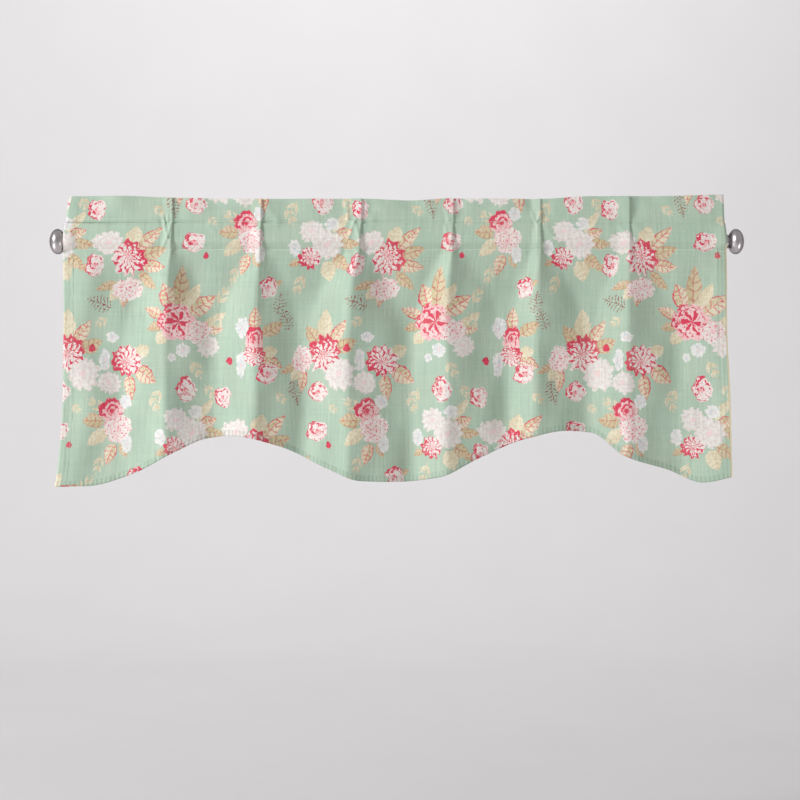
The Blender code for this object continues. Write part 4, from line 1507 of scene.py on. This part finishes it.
def make_side_hem(name, edge, inward, printed, reverse):
    """A side's turning, behind the skirt. edge is the sheet's edge, and inward 1 or -1."""
    flats = edge + inward * np.array(SIDE_TURNING)
    plies = np.full(len(flats), HEM_PLY)
    plies[0] = EDGE_PLY
    start = LOWER_STITCH - MOUTH_DIP - SIDE_HEM_GAP
    stop = np.interp(flats, HEM_FLATS, HEM_LINE) + BOTTOM_HEM + SIDE_HEM_GAP
    rows = [(blend(start, stop, share), 1, plies) for share in np.linspace(0, 1, SIDE_HEM_ROWS)]
    rows = rows[::inward]
    lengths = np.stack([cloth_height(height) for height, _, _ in rows])
    places = np.stack([np.broadcast_to(2 * edge - flats, lengths.shape), lengths], axis=-1)
    return make_cloth(name, rows, flats, places, printed, reverse)


Sewn = namedtuple("Sewn", "flats heights side facing ply")


def sewn_lines():
    """The valance's rows of stitching, each as close points along it.

    facing is 1 on the room's side of the cloth and -1 on its back, and ply is that of the layer
    that the thread lies on.
    """
    across = np.linspace(THREAD_END, FLAT_WIDTH - THREAD_END, LINE_POINTS)
    dip = MOUTH_DIP * mouth_share(across, MARKS)
    lower, upper = LOWER_STITCH - dip, UPPER_STITCH + 0 * dip
    bottom = np.interp(across, HEM_FLATS, HEM_LINE) + BOTTOM_LINE
    head = [Sewn(across, line, side, side, side) for line in (upper, lower) for side in (1, -1)]
    hems = [Sewn(across, bottom, 1, 1, 1), Sewn(across, bottom, 1, -1, HEM_PLY)]
    for edge, inward in ((0, 1), (FLAT_WIDTH, -1)):
        start = edge + inward * SIDE_LINE
        foot = float(np.interp(start, HEM_FLATS, HEM_LINE)) + BOTTOM_HEM
        behind = np.linspace(LOWER_STITCH - MOUTH_DIP - THREAD_END, foot, LINE_POINTS)
        front = np.linspace(float(top_heights(np.array([start]))[0]) - THREAD_END, foot, LINE_POINTS)
        hems.append(Sewn(np.full(LINE_POINTS, start), front, 1, 1, 1))
        hems.append(Sewn(np.full(LINE_POINTS, start), behind, 1, -1, HEM_PLY))
    return head, hems


def stitch_corners(sewn):
    """The corners of each stitch on one sewn line: stitches, stations, corners, xyz."""
    line = hung_points(sewn.flats, sewn.heights, sewn.side, sewn.ply)
    distance = np.concatenate([[0], np.cumsum(np.linalg.norm(np.diff(line, axis=0), axis=1))])
    count = int(distance[-1] / STITCH_PITCH)
    at = ((np.arange(count)[:, None] + STITCH_SHARES) * STITCH_PITCH).ravel()
    flats = np.interp(at, distance, sewn.flats)
    heights = np.interp(at, distance, sewn.heights)
    lifts = np.tile(STITCH_LIFTS, count) + CLOTH_THICKNESS / 2
    plies = sewn.ply + sewn.facing * lifts / HALF_PLY
    middle = hung_points(flats, heights, sewn.side, plies)
    out = hung_points(flats, heights, sewn.side, plies + sewn.facing) - middle
    out /= np.linalg.norm(out, axis=1, keepdims=True)
    middle = middle.reshape(count, len(STITCH_SHARES), 3)
    out = out.reshape(middle.shape)
    along = middle[:, -1:] - middle[:, :1]
    aside = np.cross(np.broadcast_to(along, middle.shape), out)
    aside /= np.linalg.norm(aside, axis=2, keepdims=True)
    return np.stack([middle + THREAD_RADIUS * way for way in (out, aside, -out, -aside)], axis=2)


def make_stitching(name, lines, thread):
    """Joined stitches, each a short four-sided length of thread that dips into the cloth."""
    corners = np.concatenate([stitch_corners(sewn) for sewn in lines])
    stations, sides = corners.shape[1:3]
    around = []
    for ring in range(0, (stations - 1) * sides, sides):
        for i in range(sides):
            after = (i + 1) % sides
            around.append((ring + i, ring + after, ring + sides + after, ring + sides + i))
    ends = [tuple(range(sides))[::-1], tuple((stations - 1) * sides + i for i in range(sides))]
    one = np.array(around + ends)
    faces = one[None] + np.arange(len(corners))[:, None, None] * stations * sides
    mesh = bpy.data.meshes.new(name)
    mesh.from_pydata(corners.reshape(-1, 3).tolist(), [], faces.reshape(-1, 4).tolist())
    mesh.shade_smooth()
    piece = new_object(name, mesh, thread)
    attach(piece, "root")
    return piece


def finial_profile():
    """Radius and height of the turned outline, from the knob's crown down to the collar's back."""
    crown = COLLAR_LENGTH + KNOB_LENGTH
    belly = COLLAR_LENGTH + KNOB_LENGTH / 2
    neck_turn = math.pi - math.asin(KNOB_NECK_SHARE)
    outline = [(0, crown)]
    for step in range(1, KNOB_STEPS + 1):
        turn = neck_turn * step / KNOB_STEPS
        outline.append((KNOB_RADIUS * math.sin(turn), belly + KNOB_LENGTH / 2 * math.cos(turn)))
    neck = outline[-1][1]
    groove = COLLAR_RADIUS - COLLAR_GROOVE
    outline += [
        (groove, neck),
        (groove, neck - COLLAR_GROOVE),
        (COLLAR_RADIUS, neck - COLLAR_BEAD),
        (COLLAR_RADIUS, COLLAR_GROOVE),
        (groove, 0),
        (0, 0),
    ]
    return outline


def make_finial(name, node, toward, metal):
    """A turned knob and collar. toward is -1 for the rod's left end and 1 for its right end."""
    outline = finial_profile()
    mesh = bpy.data.meshes.new(name)
    points = [(radius, 0, height) for radius, height in outline]
    mesh.from_pydata(points, [(i, i + 1) for i in range(len(points) - 1)], [])
    piece = new_object(name, mesh, metal)
    turning = piece.modifiers.new("turning", "SCREW")
    turning.steps = TURNED_STEPS
    turning.render_steps = TURNED_STEPS
    turning.use_merge_vertices = True
    turning.merge_threshold = 0.00002
    turning.use_smooth_shade = True
    piece.location = (toward * (FINIAL_END - KNOB_LENGTH - COLLAR_LENGTH), 0, 0)
    piece.rotation_euler = (0, toward * math.radians(90), 0)
    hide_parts(node)
    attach(piece, "root")
    return piece


# ---------------------------------------------------------------- stage, light and camera

CAMERA_HEIGHT = -0.2497
CAMERA_ACROSS = 0.0051
CAMERA_AWAY = 3.0
FRAME_WIDTH = 1.2613
FLOOR_HEIGHT = -1.15
BACKDROP_AWAY = 5.6
BACKDROP_HEIGHT = 3.5
SWEEP_RADIUS = 2.2
SWEEP_STEPS = 40
STAGE_HALF = 5.0
PAPER = ((0.74, 0.73, 0.74), (0.78, 0.77, 0.78))

# The lamps: where each stands, what it is aimed at, its width and height
Lamp = namedtuple("Lamp", "name place aim size watts colour")
COOL, ROSY, WARM = (0.985, 0.99, 1.0), (1.0, 0.985, 1.0), (1.0, 0.98, 0.96)
LAMPS = (
    Lamp("window side softbox", (-4.5, -2.9, 2.3), (0, 0, -0.15), (1.6, 1.8), 285, COOL),
    Lamp("backdrop softbox", (0, 2.4, 3.0), (0, BACKDROP_AWAY, 1.7), (3.0, 0.6), 62, ROSY),
    Lamp("left low reflector", (-1.28, -0.42, -0.64), (-FINIAL_END, 0, 0), (0.5, 0.5), 2.4, WARM),
    Lamp("right low reflector", (1.28, -0.42, -0.64), (FINIAL_END, 0, 0), (0.5, 0.5), 2.4, WARM),
)
SKY = (1.0, 0.985, 0.955, 1)
SKY_STRENGTH = 0.44


def make_stage():
    """A pale floor that sweeps up into a pale backdrop, far behind the window valance."""
    material, wiring, shader = new_material("pale studio paper")
    place = wiring.add("TexCoord", {}).outputs["Object"]
    grain = wiring.add("TexNoise", {"Vector": place, "Scale": 3.0, "Detail": 3.0}).outputs["Fac"]
    colour = wiring.tint(grain, *PAPER)
    material.node_tree.links.new(colour, shader.inputs["Base Color"])
    shader.inputs["Roughness"].default_value = 0.9
    outline = [(-STAGE_HALF, FLOOR_HEIGHT)]
    for step in range(SWEEP_STEPS + 1):
        turn = math.radians(90) * step / SWEEP_STEPS
        rise = SWEEP_RADIUS * (1 - math.cos(turn))
        outline.append((BACKDROP_AWAY - SWEEP_RADIUS * (1 - math.sin(turn)), FLOOR_HEIGHT + rise))
    outline.append((BACKDROP_AWAY, BACKDROP_HEIGHT))
    points = np.array([[(x, y, z) for x in (-STAGE_HALF, STAGE_HALF)] for y, z in outline])
    floor = new_object("studio sweep", grid_mesh("studio sweep", points, points[..., :2]), material)


def add_lamp(lamp):
    """Adds a soft rectangular lamp that the camera doesn't see."""
    light = bpy.data.lights.new(lamp.name, "AREA")
    light.shape = "RECTANGLE"
    light.size, light.size_y = lamp.size
    light.energy = lamp.watts
    light.color = lamp.colour
    holder = bpy.data.objects.new(lamp.name, light)
    bpy.context.scene.collection.objects.link(holder)
    holder.location = lamp.place
    way = Vector(lamp.aim) - Vector(lamp.place)
    holder.rotation_euler = way.to_track_quat("-Z", "Y").to_euler()
    holder.visible_camera = False


def make_lights():
    for lamp in LAMPS:
        add_lamp(lamp)
    world = bpy.data.worlds.new("soft room light")
    world.use_nodes = True
    sky = world.node_tree.nodes["Background"]
    sky.inputs["Color"].default_value = SKY
    sky.inputs["Strength"].default_value = SKY_STRENGTH
    bpy.context.scene.world = world


def make_camera():
    camera = bpy.data.cameras.new("camera")
    camera.sensor_fit = "HORIZONTAL"
    camera.angle = 2 * math.atan(FRAME_WIDTH / 2 / CAMERA_AWAY)
    holder = bpy.data.objects.new("camera", camera)
    bpy.context.scene.collection.objects.link(holder)
    holder.location = (CAMERA_ACROSS, -CAMERA_AWAY, CAMERA_HEIGHT)
    holder.rotation_euler = (math.radians(90), 0, 0)
    bpy.context.scene.camera = holder


def main():
    bpy.context.scene.view_settings.view_transform = "Standard"
    make_camera()
    make_stage()
    make_lights()
    print_group = make_print_group()
    weave_group = make_weave_group()
    metal_group = make_metal_group()
    printed = make_cotton("printed sage cotton", print_group, weave_group, 0.0, SAGE, 0.85)
    faded = (REVERSE_FADED, REVERSE_SAGE, 0.9)
    reverse = make_cotton("cotton reverse", print_group, weave_group, *faded)
    pewter = make_metal("satin pewter", metal_group, PEWTER, 0.5)
    steel = make_metal("brushed rod steel", metal_group, STEEL, 0.3)
    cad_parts["rod"].material_slots[0].material = steel
    pale_thread = make_thread("pale mint sewing thread", *PALE_THREAD)
    sage_thread = make_thread("sage sewing thread", *SAGE_THREAD)
    valance, length, area = make_valance(printed, reverse)
    head, hems = sewn_lines()
    trimmings = [
        make_side_hem("left_side_hem", 0, 1, printed, reverse),
        make_side_hem("right_side_hem", FLAT_WIDTH, -1, printed, reverse),
        make_stitching("head_stitching", head, pale_thread),
        make_stitching("hem_stitching", hems, sage_thread),
    ]
    make_finial("left_finial", "finial_left", -1, pewter)
    make_finial("right_finial", "finial_right", 1, pewter)


main()
